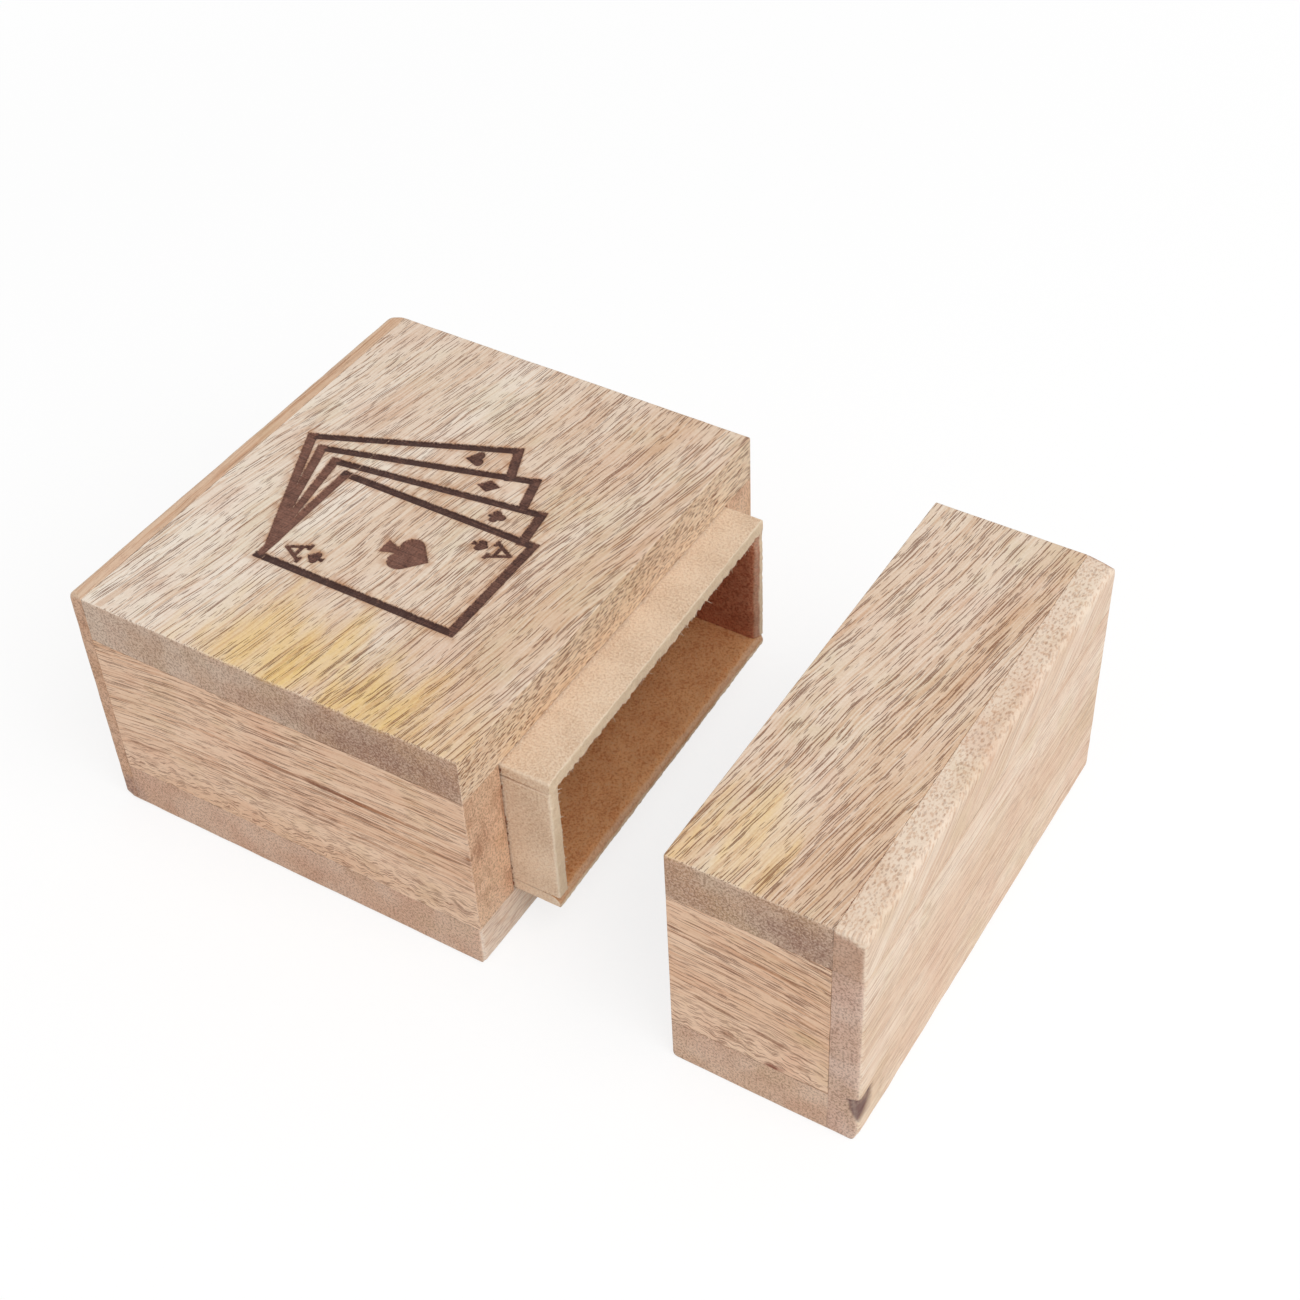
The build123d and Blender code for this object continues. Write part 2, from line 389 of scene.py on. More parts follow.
class Grain:
    """Where a point lies in the grain of one board. Widths and lengths are in millimetres."""

    def __init__(self, finish, along, tilt, shift, seed, arch, curl):
        self.finish = finish
        self.spot = finish.vector("ADD", finish.place(), (shift / MM, 0, 0))
        self.where = finish.vector("ADD", self.spot, tuple(gap * seed for gap in pattern_gap))
        self.axis, side_axis, third_axis = grain_frame(along, tilt)
        sway = (finish.noise(self.where, size=sway_size, detail=1.0) - 0.5) * sway_reach
        wobble = (finish.noise(self.where, size=wobble_size, detail=1.0) - 0.5) * wobble_reach
        self.along = finish.dot(self.where, self.axis)
        self.side = finish.dot(self.where, side_axis) + sway + wobble
        self.third = finish.dot(self.where, third_axis) + sway * 0.5
        self.curled = None
        if arch:
            bend, top_of_arch = arch
            from_top = finish.dot(self.spot, (1, 0, 0)) - top_of_arch
            self.side = self.side + from_top * from_top * bend
        if curl:
            self.curled = 1 - finish.dot(self.spot, (0, 0, 1)).step(*curl)
            eddies = finish.noise(self.where, size=curl_size) - 0.5
            self.side = self.side + eddies * self.curled * curl_reach

    def bundle(self, width, length, offset):
        return self.finish.join(self.side / width + offset, self.third / width, self.along / length)

    def streaks(self, width, length, offset, low, high):
        """Soft streaks, 1 inside one and 0 between them."""
        return self.finish.noise(self.bundle(width, length, offset)).step(low, high)

    def pores(self, width, length, offset, thin, thick, crowding=None):
        """Slim cells with a clear edge. Crowding makes them wider and longer."""
        apart = self.finish.cells(self.bundle(width, length, offset))
        if crowding:
            apart = apart - crowding
        return 1 - apart.step(thin, thick)


print("grain along x, leaning 8.5 degrees:", [round(v, 3) for v in grain_frame("x", 8.5)[0]])

# %% [markdown]
# The layers of the wood. Broad bands and soft lines are noise, because they have no clear edge. Pores are
# cells, because they do: long lines, dashes and short ones, more of them where the wood is dense. Where
# the grain curls, the long ones break up into short marks. Each layer has its width and length, its place
# in the pattern, and the two values between which it appears.

# %% Layers of the wood
broad_bands = (8.0, 110.0, 3.1, 0.34, 0.66)
crowded_bands = (4.0, 45.0, 17.7, 0.34, 0.66)
soft_lines = (0.40, 24.0, 7.7, 0.46, 0.66)
pale_flecks = (0.40, 12.0, 33.0, 0.48, 0.68)
long_pores = (0.42, 45.0, 40.3, 0.11, 0.19)
dash_pores = (0.34, 13.0, 9.4, 0.17, 0.26)
short_pores = (0.34, 4.0, 21.9, 0.11, 0.22)
curled_pores = (0.40, 3.0, 55.0, 0.22, 0.36)
bold_pores = (1.2, 50.0, 77.0, 0.13, 0.19)
pore_crowding = 0.09
curl_break = 0.8
case_length = 78.0


def pore_pattern(grain, fine, density):
    """1 in a dark pore. Fine makes all pores narrower below 1 and wider above it."""
    def layer(width, *rest):
        return grain.pores(width * fine, *rest, density * pore_crowding)

    lines, dashes, short = layer(*long_pores), layer(*dash_pores), layer(*short_pores)
    if grain.curled:
        unbroken = 1 - grain.curled * curl_break
        lines, dashes = lines * unbroken, dashes * unbroken
        short = short.highest(layer(*curled_pores) * grain.curled)
    return dashes.highest(short * 0.8).highest(lines * 0.9)


def ground_colour(grain, tone):
    """The wood between its pores: cream to biscuit with its tone, and clouds of rose and olive."""
    finish = grain.finish
    blotch = finish.noise(grain.where, size=11.0, detail=3.0, rough=0.6)
    colour = finish.mix(CREAM, BISCUIT, tone)
    colour = finish.mix(colour, ROSE, blotch.step(0.46, 0.72) * 0.35)
    return finish.mix(colour, OLIVE, (1 - blotch.step(0.32, 0.48)) * 0.25)


print("pores", [row[1] for row in (long_pores, dash_pores, short_pores)], "mm long")

# %% [markdown]
# Some places differ. On end grain the tubes are cut across, so the face is darker and dotted. Dust and
# glue darken the joints, and the chip shows old bark. The faces inside the cap were never sanded, so their
# pores stand wide open, and they are browner, partly in their own tone and partly in painted shade. The
# mesh says where joints, edges and the chip are.

# %% Where the wood differs


def dotted_grit(grain, colour, end_grain, end_cloud):
    """Fine dots left by sanding, strong on end grain, with brown clouds there."""
    finish = grain.finish
    sand = finish.noise(grain.where, size=0.42, rough=0.8)
    cloud = finish.noise(grain.where, size=3.6, detail=3.0, rough=0.65)
    colour = finish.mix(colour, DARK_GRIT, (1 - sand.step(0.40, 0.52)) * (0.05 + end_grain * 0.38))
    colour = finish.mix(colour, CREAM, sand.step(0.50, 0.62) * (0.10 + end_grain * 0.34))
    colour = finish.mix(colour, BROWN_CLOUD, end_grain * cloud.step(0.48, 0.66) * end_cloud)
    glue = finish.attribute("joint") * finish.noise(grain.where, size=3.0).step(0.40, 0.62)
    colour = finish.mix(colour, JOINT, glue * 0.55)
    return finish.mix(colour, PLUM_DARK, finish.attribute("chip") * (cloud.step(0.3, 0.5) * 0.3 + 0.6))


def inner_shade_and_pores(grain, colour, height, inward):
    """Browner wood with open pores on the face that looks inward, its brown partly painted shade."""
    finish = grain.finish
    inner_face = finish.facing(inward)
    bold = grain.pores(*bold_pores)
    # Painted shade in part: the inward faces are tinted darker and browner, over their open pores.
    shade_and_pores = finish.mix(finish.tinted(colour, INSIDE_TONE_AND_SHADE), BOLD_PORE, bold * 0.75)
    return finish.mix(colour, shade_and_pores, inner_face), height - bold * inner_face * 0.5


print("inside the cap a colour keeps", INSIDE_TONE_AND_SHADE[:3], "of its red, green and blue")

# %% [markdown]
# The wood builder lays the coats over each other in the order in which they are seen: ground, the board's
# own marks, painted light on a top board's cut face at the mouth, soft lines, pores, dots, and last the
# tint of the whole board. The height for the bump follows the pores, so that they catch the light as
# grooves.
# Edges come last, a little paler from wear.

# %% Wood builder


def wood(name, along="y", tilt=0.0, shift=0.0, seed=0.0, arch=None, curl=None, tint=None, pores=1.0,
         fine=1.0, drift=0.5, end_tint=DRY_END, end_cloud=0.12, sawn=None, inward=None, marks=()):
    """A finish, its place on the board, its colour and its height. Drift darkens it towards the mouth."""
    finish = new_finish(name)
    grain = Grain(finish, along, tilt, shift, seed, arch, curl)
    towards_mouth = (finish.dot(grain.spot, (1, 0, 0)) / case_length + 0.5).step(0.0, 1.0) * 0.9
    density = grain.streaks(*crowded_bands) * (1 - drift) + towards_mouth * drift
    pore = pore_pattern(grain, fine, density) * pores
    soft = grain.streaks(*soft_lines)
    if curl:
        soft = soft * (1 - grain.curled * curl_break)
    end_grain = abs(finish.dot(finish.normal(), grain.axis)).step(0.6, 0.9)
    on_face = 1 - end_grain * 0.8

    colour = ground_colour(grain, grain.streaks(*broad_bands) * 0.4 + towards_mouth * drift)
    colour = finish.mix(colour, CREAM, grain.streaks(*pale_flecks) * on_face * 0.3)
    for mark in marks:
        colour = mark(finish, grain.spot, colour)
    # Painted light: the cut face at the mouth is mixed towards a pale colour, because the lamp leaves it
    # darker than the near side. Its pores are drawn a little stronger there.
    if sawn:
        sawn_face = finish.facing(sawn)
        colour = finish.mix(colour, PAINTED_MOUTH_LIGHT, sawn_face * 0.40)
        pore = pore * (1 + sawn_face * 0.15)
    colour = finish.mix(colour, LINE, soft * on_face * 0.42)
    colour = finish.mix(colour, PORE, pore * on_face * 0.74)
    colour = dotted_grit(grain, colour, end_grain, end_cloud)
    if tint:
        colour = finish.tinted(colour, tint)
    colour = finish.mix(colour, finish.tinted(colour, end_tint), end_grain)
    dust = finish.noise(grain.where, size=0.30, rough=0.7) - 0.5
    height = 0.8 - pore * on_face * 0.8 - soft * 0.2 + dust * 0.25
    # Inward faces get a darker, browner tint, partly painted shade, and open pores.
    if inward:
        colour, height = inner_shade_and_pores(grain, colour, height, inward)
    colour = finish.mix(colour, CREAM, finish.attribute("edge") * 0.12)
    return finish, grain.spot, colour, height


wood_relief = 0.12 * MM
wood_roughness, char_roughness = 0.62, 0.7


def plain_wood(name, **grain):
    finish, _spot, colour, height = wood(name, **grain)
    return finish.surface(colour, wood_roughness, height, wood_relief)


print("pores are up to", wood_relief / MM, "mm deep")

# %% [markdown]
# Marks that only one board has. A mark is a soft oval of colour, torn along the grain by a noise. A vein
# is a thin dark line, widest in its middle. Each call gives a small function that paints over a colour, so
# a board takes as many of them as it needs.

# %% Ovals and veins
VEIN = linear(136, 82, 42)
vein_blur, vein_waver = 0.3, 0.9


def oval(finish, spot, centre, reach, ragged):
    """1 at a mark's centre and 0 beyond its reach, which are three numbers each in millimetres."""
    stretch = tuple(1 / r for r in reach)
    scaled = finish.vector("MULTIPLY", finish.vector("SUBTRACT", spot, centre), stretch)
    away = finish.vector("LENGTH", scaled, output="Value")
    return (1.0 - away + ragged).step(0.0, 1.0)


def mark(centre, reach, colour_of_mark, strength, torn=(1.0, 0.2, 1.0), tear=1.3, size=5.0):
    def paint(finish, spot, colour):
        stretched = finish.vector("MULTIPLY", spot, torn)
        ragged = (finish.noise(stretched, size=size, detail=3.0, rough=0.65) - 0.5) * tear
        return finish.mix(colour, colour_of_mark, oval(finish, spot, centre, reach, ragged) * strength)
    return paint


def vein(start, end, width, strength):
    """A dark line from start to end, widest in its middle."""
    start, end = Vector(start), Vector(end)
    length = (end - start).length
    unit = (end - start) / length

    def paint(finish, spot, colour):
        from_start = finish.vector("SUBTRACT", spot, tuple(start))
        run = finish.dot(from_start, tuple(unit))
        beside = finish.vector("SUBTRACT", from_start, finish.vector("SCALE", tuple(unit), scale=run))
        off = finish.vector("LENGTH", beside, output="Value")
        fullness = (1 - abs(run / (length / 2) - 1)).step(0.0, 0.6)
        wavy = finish.noise(finish.vector("MULTIPLY", spot, (0.25, 1, 1)), size=1.2) - 0.5
        inside = fullness * (width + vein_blur) - vein_blur - off + wavy * vein_waver
        return finish.mix(colour, VEIN, inside.step(-0.15, 0.20) * strength)
    return paint


print("a vein's edge is", vein_blur, "mm soft and wavers by up to", vein_waver / 2, "mm")

# %% [markdown]
# Where this box has its marks, in millimetres in the box's frame: yellow heartwood near the top's edge,
# veins and small knots on the near side, plum and grey shades where end grain took up glue, and a reddish
# flaw low on the cap. The near side is the face that the photograph shows best, so it has the most.

# %% Marks on this box
PLUM = linear(168, 130, 118)
CORNER_GREY = linear(172, 156, 162)
FLAW = linear(150, 92, 78)
OLD_BROWN = linear(150, 100, 66)
PALE = linear(236, 222, 204)
near_face, mouth_face, above_top = -45, 39, 49.3
even = (1, 1, 1)


def near_veins(*rows):
    """Veins on the near side, each given as x and z of its ends, its width and its strength."""
    return [vein((x0, near_face, z0), (x1, near_face, z1), width, strength)
            for x0, z0, x1, z1, width, strength in rows]


def near_mark(x, z, reach, colour, strength, tear, size, torn=even):
    return mark((x, near_face, z), reach, colour, strength, torn=torn, tear=tear, size=size)


heartwood = (mark((0, -41, above_top), (30, 22, 0.9), HEARTWOOD, 0.72, tear=1.9),
             mark((27, -43, above_top), (30, 20, 0.9), HEARTWOOD, 0.62, tear=1.9),
             mark((49, -40, above_top), (9, 24, 0.9), HEARTWOOD, 0.55))
plum_edges = (near_mark(22, 43, (30, 1.2, 7), PLUM, 0.55, 1.5, 2.5),
              near_mark(62, 43, (13, 1.2, 7), PLUM, 0.65, 1.5, 2.5))
grey_corner = mark((-38, near_face, 2.5), (5, 3, 7), CORNER_GREY, 0.85, torn=even)
worn_corner = mark((mouth_face, near_face, 4.6), (0.9, 0.9, 7), CREAM, 0.75, torn=even, tear=0.8,
                   size=1.5)
curl_knots = ((-30, 13.6), (-21, 15.2), (-12, 12.4), (-4, 15.8), (3, 13.2), (11, 16.0), (18, 13.4),
              (27, 15.0), (34, 12.6))
case_near_marks = (
    *[near_mark(x, z, (3.2, 1.5, 1.2), OLD_BROWN, 0.3, 2.2, 1.0, torn=(0.6, 1, 1.6))
      for x, z in curl_knots],
    *near_veins((-19, 27.6, 36, 28.6, 0.42, 0.75), (2, 28.6, 22, 28.2, 0.5, 0.6),
                (-28, 19.9, 40, 19.2, 0.22, 0.5), (-37, 16.4, -22, 18.2, 0.25, 0.55),
                (-37, 32.4, -12, 35.4, 0.25, 0.5), (-6, 36.4, 15, 37.0, 0.2, 0.5)),
    near_mark(38.8, 26.8, (1.2, 1, 0.8), VEIN, 0.8, 0.5, 1.0),
    mark((mouth_face, -42, 28), (1.2, 5, 5.5), OLD_BROWN, 0.45, torn=(1, 1, 0.35), tear=1.9, size=1.0),
    mark((mouth_face, -40, 37), (1.2, 8, 9), PALE, 0.8, torn=(1, 1, 0.4), tear=1.2, size=1.6),
    vein((mouth_face, -35.6, 22), (mouth_face, -35.5, 38), 0.3, 0.45))
cap_near_marks = (
    *near_veins((39.5, 33.4, 68, 32.6, 0.22, 0.5), (40.5, 18.8, 54, 17.1, 0.35, 0.6),
                (50, 17.5, 68.5, 14.5, 0.35, 0.6), (47, 25.0, 68, 22.5, 0.2, 0.5),
                (59, 9.4, 69.5, 9.3, 0.15, 0.7)),
    near_mark(57.4, 9.5, (3.2, 1.5, 1.5), FLAW, 0.85, 0.7, 1.5),
    near_mark(49.5, 12.6, (3.0, 1.5, 1.7), OLD_BROWN, 0.6, 1.6, 1.2),
    near_mark(62.5, 12.4, (2.4, 1.5, 1.2), OLD_BROWN, 0.5, 1.6, 1.2),
    near_mark(63.0, 20.2, (4.5, 2, 3.2), OLIVE, 0.5, 1.3, 5.0, torn=(0.2, 1, 1)))
print(len(case_near_marks), "marks on the case's near side,", len(cap_near_marks), "on the cap's")

# %% [markdown]
# The burn. A laser turns the floor of its cut to dark char, with a brown halo of smoke where it slowed
# down, and leaves fine lines as it passes to and fro. The mesh carries two numbers for it: how far a point
# lies inside an outline, and how hard that stroke was burnt.

# %% Burnt finish
CHAR = linear(60, 32, 28)
SINGED = linear(150, 102, 84)
SMOKE = linear(186, 130, 88)
halo_reach = 2.2


def burnt_wood(name, **grain):
    finish, spot, colour, height = wood(name, **grain)
    inside = finish.attribute("figure")
    char = finish.attribute("char")
    passes = finish.noise(finish.vector("MULTIPLY", spot, (0.12, 5.0, 1.0)), size=1.0, detail=1.0) - 0.5
    patches = finish.noise(spot, size=2.2, detail=3.0) - 0.5
    specks = finish.noise(spot, size=0.35, detail=1.0) - 0.5
    rough_outline = inside * 8.0 + specks * 2.0
    cut = (rough_outline * 0.5 + 0.5).step(0.1, 0.9)
    halo = (1.0 + inside / halo_reach).step(0.0, 1.0) * (patches * 3.0 + 0.3).step(0.0, 0.9)
    rim = 1 - abs(inside * 2.4).step(0.0, 1.0)
    colour = finish.mix(colour, SMOKE, halo * 0.6)
    colour = finish.mix(colour, SMOKE, rim * 0.35)
    darkness = char * 1.1 - 0.08 + passes * 0.9 + patches * 0.8 + specks * 0.9
    colour = finish.mix(colour, finish.mix(SINGED, CHAR, darkness), cut * 0.97)
    return finish.surface(colour, char_roughness, height - cut * (0.35 - passes * 0.6), wood_relief)


print("smoke reaches", halo_reach, "mm past an outline")

# %% [markdown]
# A sawn board is a box whose edges were taken off with sandpaper. The mesh is a lattice over the node's
# box, with its lines crowded at the edges, and the outer edges are rolled round there. The roll is wider in
# some places than in others, which is what makes an edge look handled. A plain bevel modifier would give
# the same radius everywhere.

# %% Lines of the lattice
glued_radius = 0.12
edge_shares = (0.0, 0.16, 0.34, 0.55, 0.78, 1.05, 1.45)
outer, plain_step, usual_wear = 0.45, 3.0, 0.35
rolled_part = 1.8
closest_lines = 0.02
clear_of_fine = 0.1


def rough(point, size, seed):
    """Smooth noise from -1 to 1 at a point in millimetres."""
    return noise.noise(Vector(point) / size + Vector((seed, 7.3 * seed, 3.1)))


def lattice_lines(low, high, near_radius, far_radius, step, extra=()):
    """Places of the lattice's lines along one axis, crowded at both ends."""
    start = low + rolled_part * near_radius
    stop = high - rolled_part * far_radius
    count = max(2, round((stop - start) / step))
    lines = [low + share * near_radius for share in edge_shares]
    lines += [high - share * far_radius for share in edge_shares]
    plain = list(np.linspace(start, stop, count))
    fine = [place for place in extra if start < place < stop]
    if fine:
        first, last = min(fine) - clear_of_fine, max(fine) + clear_of_fine
        plain = [line for line in plain if not first < line < last]
    lines = sorted(line for line in lines + plain + fine if low <= line <= high)
    kept = [lines[0]]
    for line in lines[1:]:
        if line - kept[-1] > closest_lines:
            kept.append(line)
    kept[-1] = high
    return kept


print("a side of 10 mm has", len(lattice_lines(0, 10, outer, outer, plain_step)), "lines")

# %% [markdown]
# The lines of three axes make a box's surface. Each crossing becomes a point once, so that the faces share
# their points, and every face's corners run anticlockwise as seen from outside. An underside that nobody
# sees needs no lattice in its middle: it is one large face inside a rim.

# %% Lattice of a board


def lattice_box(xs, ys, zs, plain_underside=False):
    """Vertices and faces of a box's surface on three sets of lines. A plain underside is one face."""
    lines = (xs, ys, zs)
    index = {}
    points = []

    def corner(*at):
        if at not in index:
            index[at] = len(points)
            points.append([lines[axis][at[axis]] for axis in range(3)])
        return index[at]

    faces = []
    rim = len(edge_shares) + 1
    for axis in range(3):
        first, second = [a for a in range(3) if a != axis]
        wide, tall = len(lines[first]) - 1, len(lines[second]) - 1
        for end in (0, len(lines[axis]) - 1):
            outward = (end != 0) == (axis != 1)
            hollow = plain_underside and axis == 2 and end == 0

            def at(p, q):
                place = [0, 0, 0]
                place[axis], place[first], place[second] = end, p, q
                return corner(*place)

            rings = [[at(p, q), at(p + 1, q), at(p + 1, q + 1), at(p, q + 1)]
                     for p in range(wide) for q in range(tall)
                     if not (hollow and rim <= p < wide - rim and rim <= q < tall - rim)]
            if hollow:
                rings.append([at(p, rim) for p in range(rim, wide - rim)]
                             + [at(wide - rim, q) for q in range(rim, tall - rim)]
                             + [at(p, tall - rim) for p in range(wide - rim, rim, -1)]
                             + [at(rim, q) for q in range(tall - rim, rim, -1)])
            faces += [ring if outward else ring[::-1] for ring in rings]
    return np.array(points), faces


print("an edge has", len(edge_shares), "lines across its roll")

# %% [markdown]
# Now the edges are rolled. An edge is named by the two faces that meet there: 1, 2 and 3 are the far ends
# of x, y and z, and -1, -2 and -3 the near ones. Every edge that isn't given a radius is a glued joint and
# gets a hair's width. The points of an edge slide on to an arc whose radius wanders along it.

# %% Roll the edges round
roll_reach = 1.4
quick_wander, slow_wander, wander_share = 3.0, 17.0, 0.6


def roll_edges(points, low, high, radii, wear, seed):
    """Roll each edge by its own radius. Returns how far into a free edge and a joint a point lies."""
    edge_share = np.zeros(len(points))
    joint_share = np.zeros(len(points))
    for a, b in ((0, 2), (0, 1), (1, 2)):
        along = 3 - a - b
        for side_a in (-1, 1):
            for side_b in (-1, 1):
                pair = (side_a * (a + 1), side_b * (b + 1))
                radius = radii.get(pair, glued_radius)
                share = edge_share if pair in radii else joint_share
                from_a = points[:, a] - low[a] if side_a < 0 else high[a] - points[:, a]
                from_b = points[:, b] - low[b] if side_b < 0 else high[b] - points[:, b]
                inset = np.minimum(from_a, from_b)
                widest = radius * roll_reach
                close = (inset < widest) & (np.abs(from_a - from_b) < widest)
                for n in np.nonzero(close)[0]:
                    quick = rough((points[n, along], 9.0 * side_a, 9.0 * side_b), quick_wander, seed)
                    slow = rough((points[n, along], 5.0 * side_a, 2.0 * side_b), slow_wander, seed)
                    wander = wander_share * quick + wander_share * slow
                    local = radius * (1 + wear * wander) - inset[n]
                    apart = abs(from_a[n] - from_b[n])
                    if local <= 0 or apart >= local:
                        continue
                    turn = pi / 4 * (1 - apart / local)
                    short = inset[n] + local * (1 - cos(turn))
                    far = inset[n] + local * (1 - sin(turn))
                    new_a, new_b = (short, far) if from_a[n] <= from_b[n] else (far, short)
                    points[n, a] = low[a] + new_a if side_a < 0 else high[a] - new_a
                    points[n, b] = low[b] + new_b if side_b < 0 else high[b] - new_b
                    share[n] = max(share[n], 1 - apart / local)
    return {"edge": edge_share, "joint": joint_share}


print("a glued edge is rolled by", glued_radius, "mm")

# %% [markdown]
# Every mesh becomes a piece in the same way: it is made from points in millimetres, carries its numbers as
# attributes for the finish, rides on the body of the node that it stands for or lies on, and hides the
# nodes that it stands for. Weighted normals keep the large faces flat in the light while the rolled edges
# stay smooth.

# %% Make a piece


def make_piece(name, points, faces, material, body, nodes=(), attributes=None):
    """A mesh object from points in millimetres, riding on its body in place of its CAD nodes."""
    mesh = bpy.data.meshes.new(name)
    mesh.from_pydata([tuple(p * MM) for p in points], [], faces)
    mesh.materials.append(material)
    for attribute, values in (attributes or {}).items():
        layer = mesh.attributes.new(attribute, "FLOAT", "POINT")
        layer.data.foreach_set("value", np.asarray(values, dtype=np.float32))
    mesh.polygons.foreach_set("use_smooth", [True] * len(mesh.polygons))
    mesh.update()
    piece = bpy.data.objects.new(name, mesh)
    bpy.context.scene.collection.objects.link(piece)
    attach(piece, body)
    if nodes:
        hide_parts(*nodes)
    print(name, "rides on", body, "with", len(points), "points")
    return piece


def sanded_board(name, node, material, radii, wear=usual_wear, step=plain_step, seed=1.0, carve=None,
                 extra=((), (), ()), plain_underside=False):
    """A lattice in place of a node, its edges rolled by radii, and carved where a board has more."""
    low, high = node_box(node)
    reach = [[max([r for pair, r in radii.items() if side * (axis + 1) in pair] + [glued_radius])
              for side in (-1, 1)] for axis in range(3)]
    lines = [lattice_lines(low[n], high[n], *reach[n], step, extra[n]) for n in range(3)]
    points, faces = lattice_box(*lines, plain_underside)
    attributes = roll_edges(points, low, high, radii, wear, seed)
    if carve:
        points, more = carve(points, low, high)
        attributes.update(more)
    piece = make_piece(name, points, faces, material, body_of[node], [node], attributes)
    shading = piece.modifiers.new("even_shading", "WEIGHTED_NORMAL")
    shading.keep_sharp = True


print("an edge's radius wanders by up to", round(2 * wander_share * usual_wear, 2), "of itself")

# %% [markdown]
# The figure on the top is burnt by a laser: four fanned cards with suit signs, a common figure on card
# boxes. It is a shallow cut with charred walls, so it is real relief here. Each shape is a signed distance,
# negative outside and positive inside, and the lattice is fine where the figure lies. Points beside an
# outline are pulled on to it, which keeps the edge crisp without millions of faces.

# %% Sizes of the burnt figure
figure_corner = (20.65, 22.3)
card_size = (40.8, 25.6)
card_line, end_line = 1.55, 1.8
pivot_line, pivot_line_end = 1.75, 1.5
ace_size, ace_shift = 9.1, 2.0
index_inset = ((4.9, 4.9), (5.8, 4.7))
index_step, index_size = 3.9, 3.2
letter_size = (4.0, 3.5)
letter_line, serif_length = 0.72, 1.6
far_outside = -9.0
fan = ((7.7, (-3.1, 26.7), 40.2), (15.3, (-7.3, 28.5), 39.7), (22.3, (-10.9, 30.4), 37.4))
fan_drop = 7.4
hard_burn, mid_burn, light_burn = 1.0, 0.75, 0.52
skipped_line_at, skipped_line = 1.75, 0.22
fan_line, fan_line_end = 1.9, 1.15
burn_depth, burn_ripple = 0.35, 0.05
figure_spacing = 0.24
print("figure of", card_size, "mm cards, burnt", burn_depth, "mm deep")

# %% [markdown]
# The outlines. A signed distance tells how far a point lies inside a shape, so shapes join by taking the
# larger of two distances. Three kinds are enough for the whole figure: a bar, a disc and a convex polygon.

# %% Shapes as signed distances


def bar(p, start, end, width, end_width=None):
    """A straight bar with square ends. It may taper towards its end."""
    start, end = np.array(start, float), np.array(end, float)
    length = np.hypot(*(end - start))
    unit = (end - start) / length
    local = p - (start + end) / 2
    run = local @ unit
    share = np.clip(run / length + 0.5, 0, 1)
    half = (width + ((end_width or width) - width) * share) / 2
    across = np.abs(run) - (length + width) / 2
    beside = np.abs(local @ np.array((-unit[1], unit[0]))) - half
    outside = np.hypot(np.maximum(across, 0), np.maximum(beside, 0))
    return -(outside + np.minimum(np.maximum(across, beside), 0))


def disc(p, centre, radius):
    return radius - np.hypot(p[:, 0] - centre[0], p[:, 1] - centre[1])


def polygon(p, corners):
    """A convex polygon, its corners anticlockwise."""
    result = np.full(len(p), 99.0)
    for a, b in zip(corners, corners[1:] + corners[:1]):
        a, b = np.array(a), np.array(b)
        unit = (b - a) / np.hypot(*(b - a))
        result = np.minimum(result, (p - a) @ np.array((-unit[1], unit[0])))
    return result


print("the middle of a disc of 2 mm is", float(disc(np.zeros((1, 2)), (0, 0), 2.0)[0]), "mm inside")

# %% [markdown]
# The signs. Two discs that run into a point make a spade or a heart, three discs a club, four corners a
# diamond, and three bars with two serifs a letter A. Every sign is drawn about its own middle with its
# tip along x. The outlines are this notebook's own.

# %% Signs of the cards


def lobed_tip(p, size, lobe_place):
    """Two round lobes that run together into a point."""
    lobe, apart = 0.24 * size, 0.2 * size
    tip = np.array((0.5 * size, 0.0))
    shape = disc(p, (lobe_place, apart), lobe)
    shape = np.maximum(shape, disc(p, (lobe_place, -apart), lobe))
    run = np.array((lobe_place, apart)) - tip
    reach = np.hypot(*run)
    turn = np.arctan2(run[1], -run[0]) + np.arcsin(lobe / reach)
    side = np.sqrt(reach ** 2 - lobe ** 2)
    touch = (tip[0] - side * cos(turn), side * sin(turn))
    corners = [tuple(tip), touch, (lobe_place, apart), (lobe_place, -apart), (touch[0], -touch[1])]
    return np.maximum(shape, polygon(p, corners))


def spade(p, size):
    stem = [(-0.5 * size, -0.18 * size), (-0.1 * size, -0.045 * size),
            (-0.1 * size, 0.045 * size), (-0.5 * size, 0.18 * size)]
    return np.maximum(lobed_tip(p, size, 0.0), polygon(p, stem))


def heart(p, size):
    return lobed_tip(p * (-1.0, 0.8), size * 1.12, -0.2 * size)


def diamond(p, size):
    return polygon(p, [(0.68 * size, 0), (0, 0.5 * size), (-0.68 * size, 0), (0, -0.5 * size)])


def club(p, size):
    leaf = 0.25 * size
    shape = disc(p, (0.26 * size, 0), leaf)
    for side in (-1, 1):
        shape = np.maximum(shape, disc(p, (-0.1 * size, side * 0.25 * size), leaf))
    stem = [(-0.5 * size, -0.14 * size), (0.2 * size, -0.07 * size),
            (0.2 * size, 0.07 * size), (-0.5 * size, 0.14 * size)]
    return np.maximum(shape, polygon(p, stem))


def letter_a(p):
    height, width = letter_size
    reach = 0.31 * width - letter_line / 2
    shape = bar(p, (-0.1 * height, -reach), (-0.1 * height, reach), letter_line)
    base = -height / 2 + letter_line / 2
    half_serif = (serif_length - letter_line) / 2
    for side in (-1, 1):
        foot = side * width / 2
        shape = np.maximum(shape, bar(p, (base + letter_line / 2, foot), (height / 2, 0), letter_line))
        serif = bar(p, (base, foot - half_serif), (base, foot + half_serif), letter_line)
        shape = np.maximum(shape, serif)
    return shape


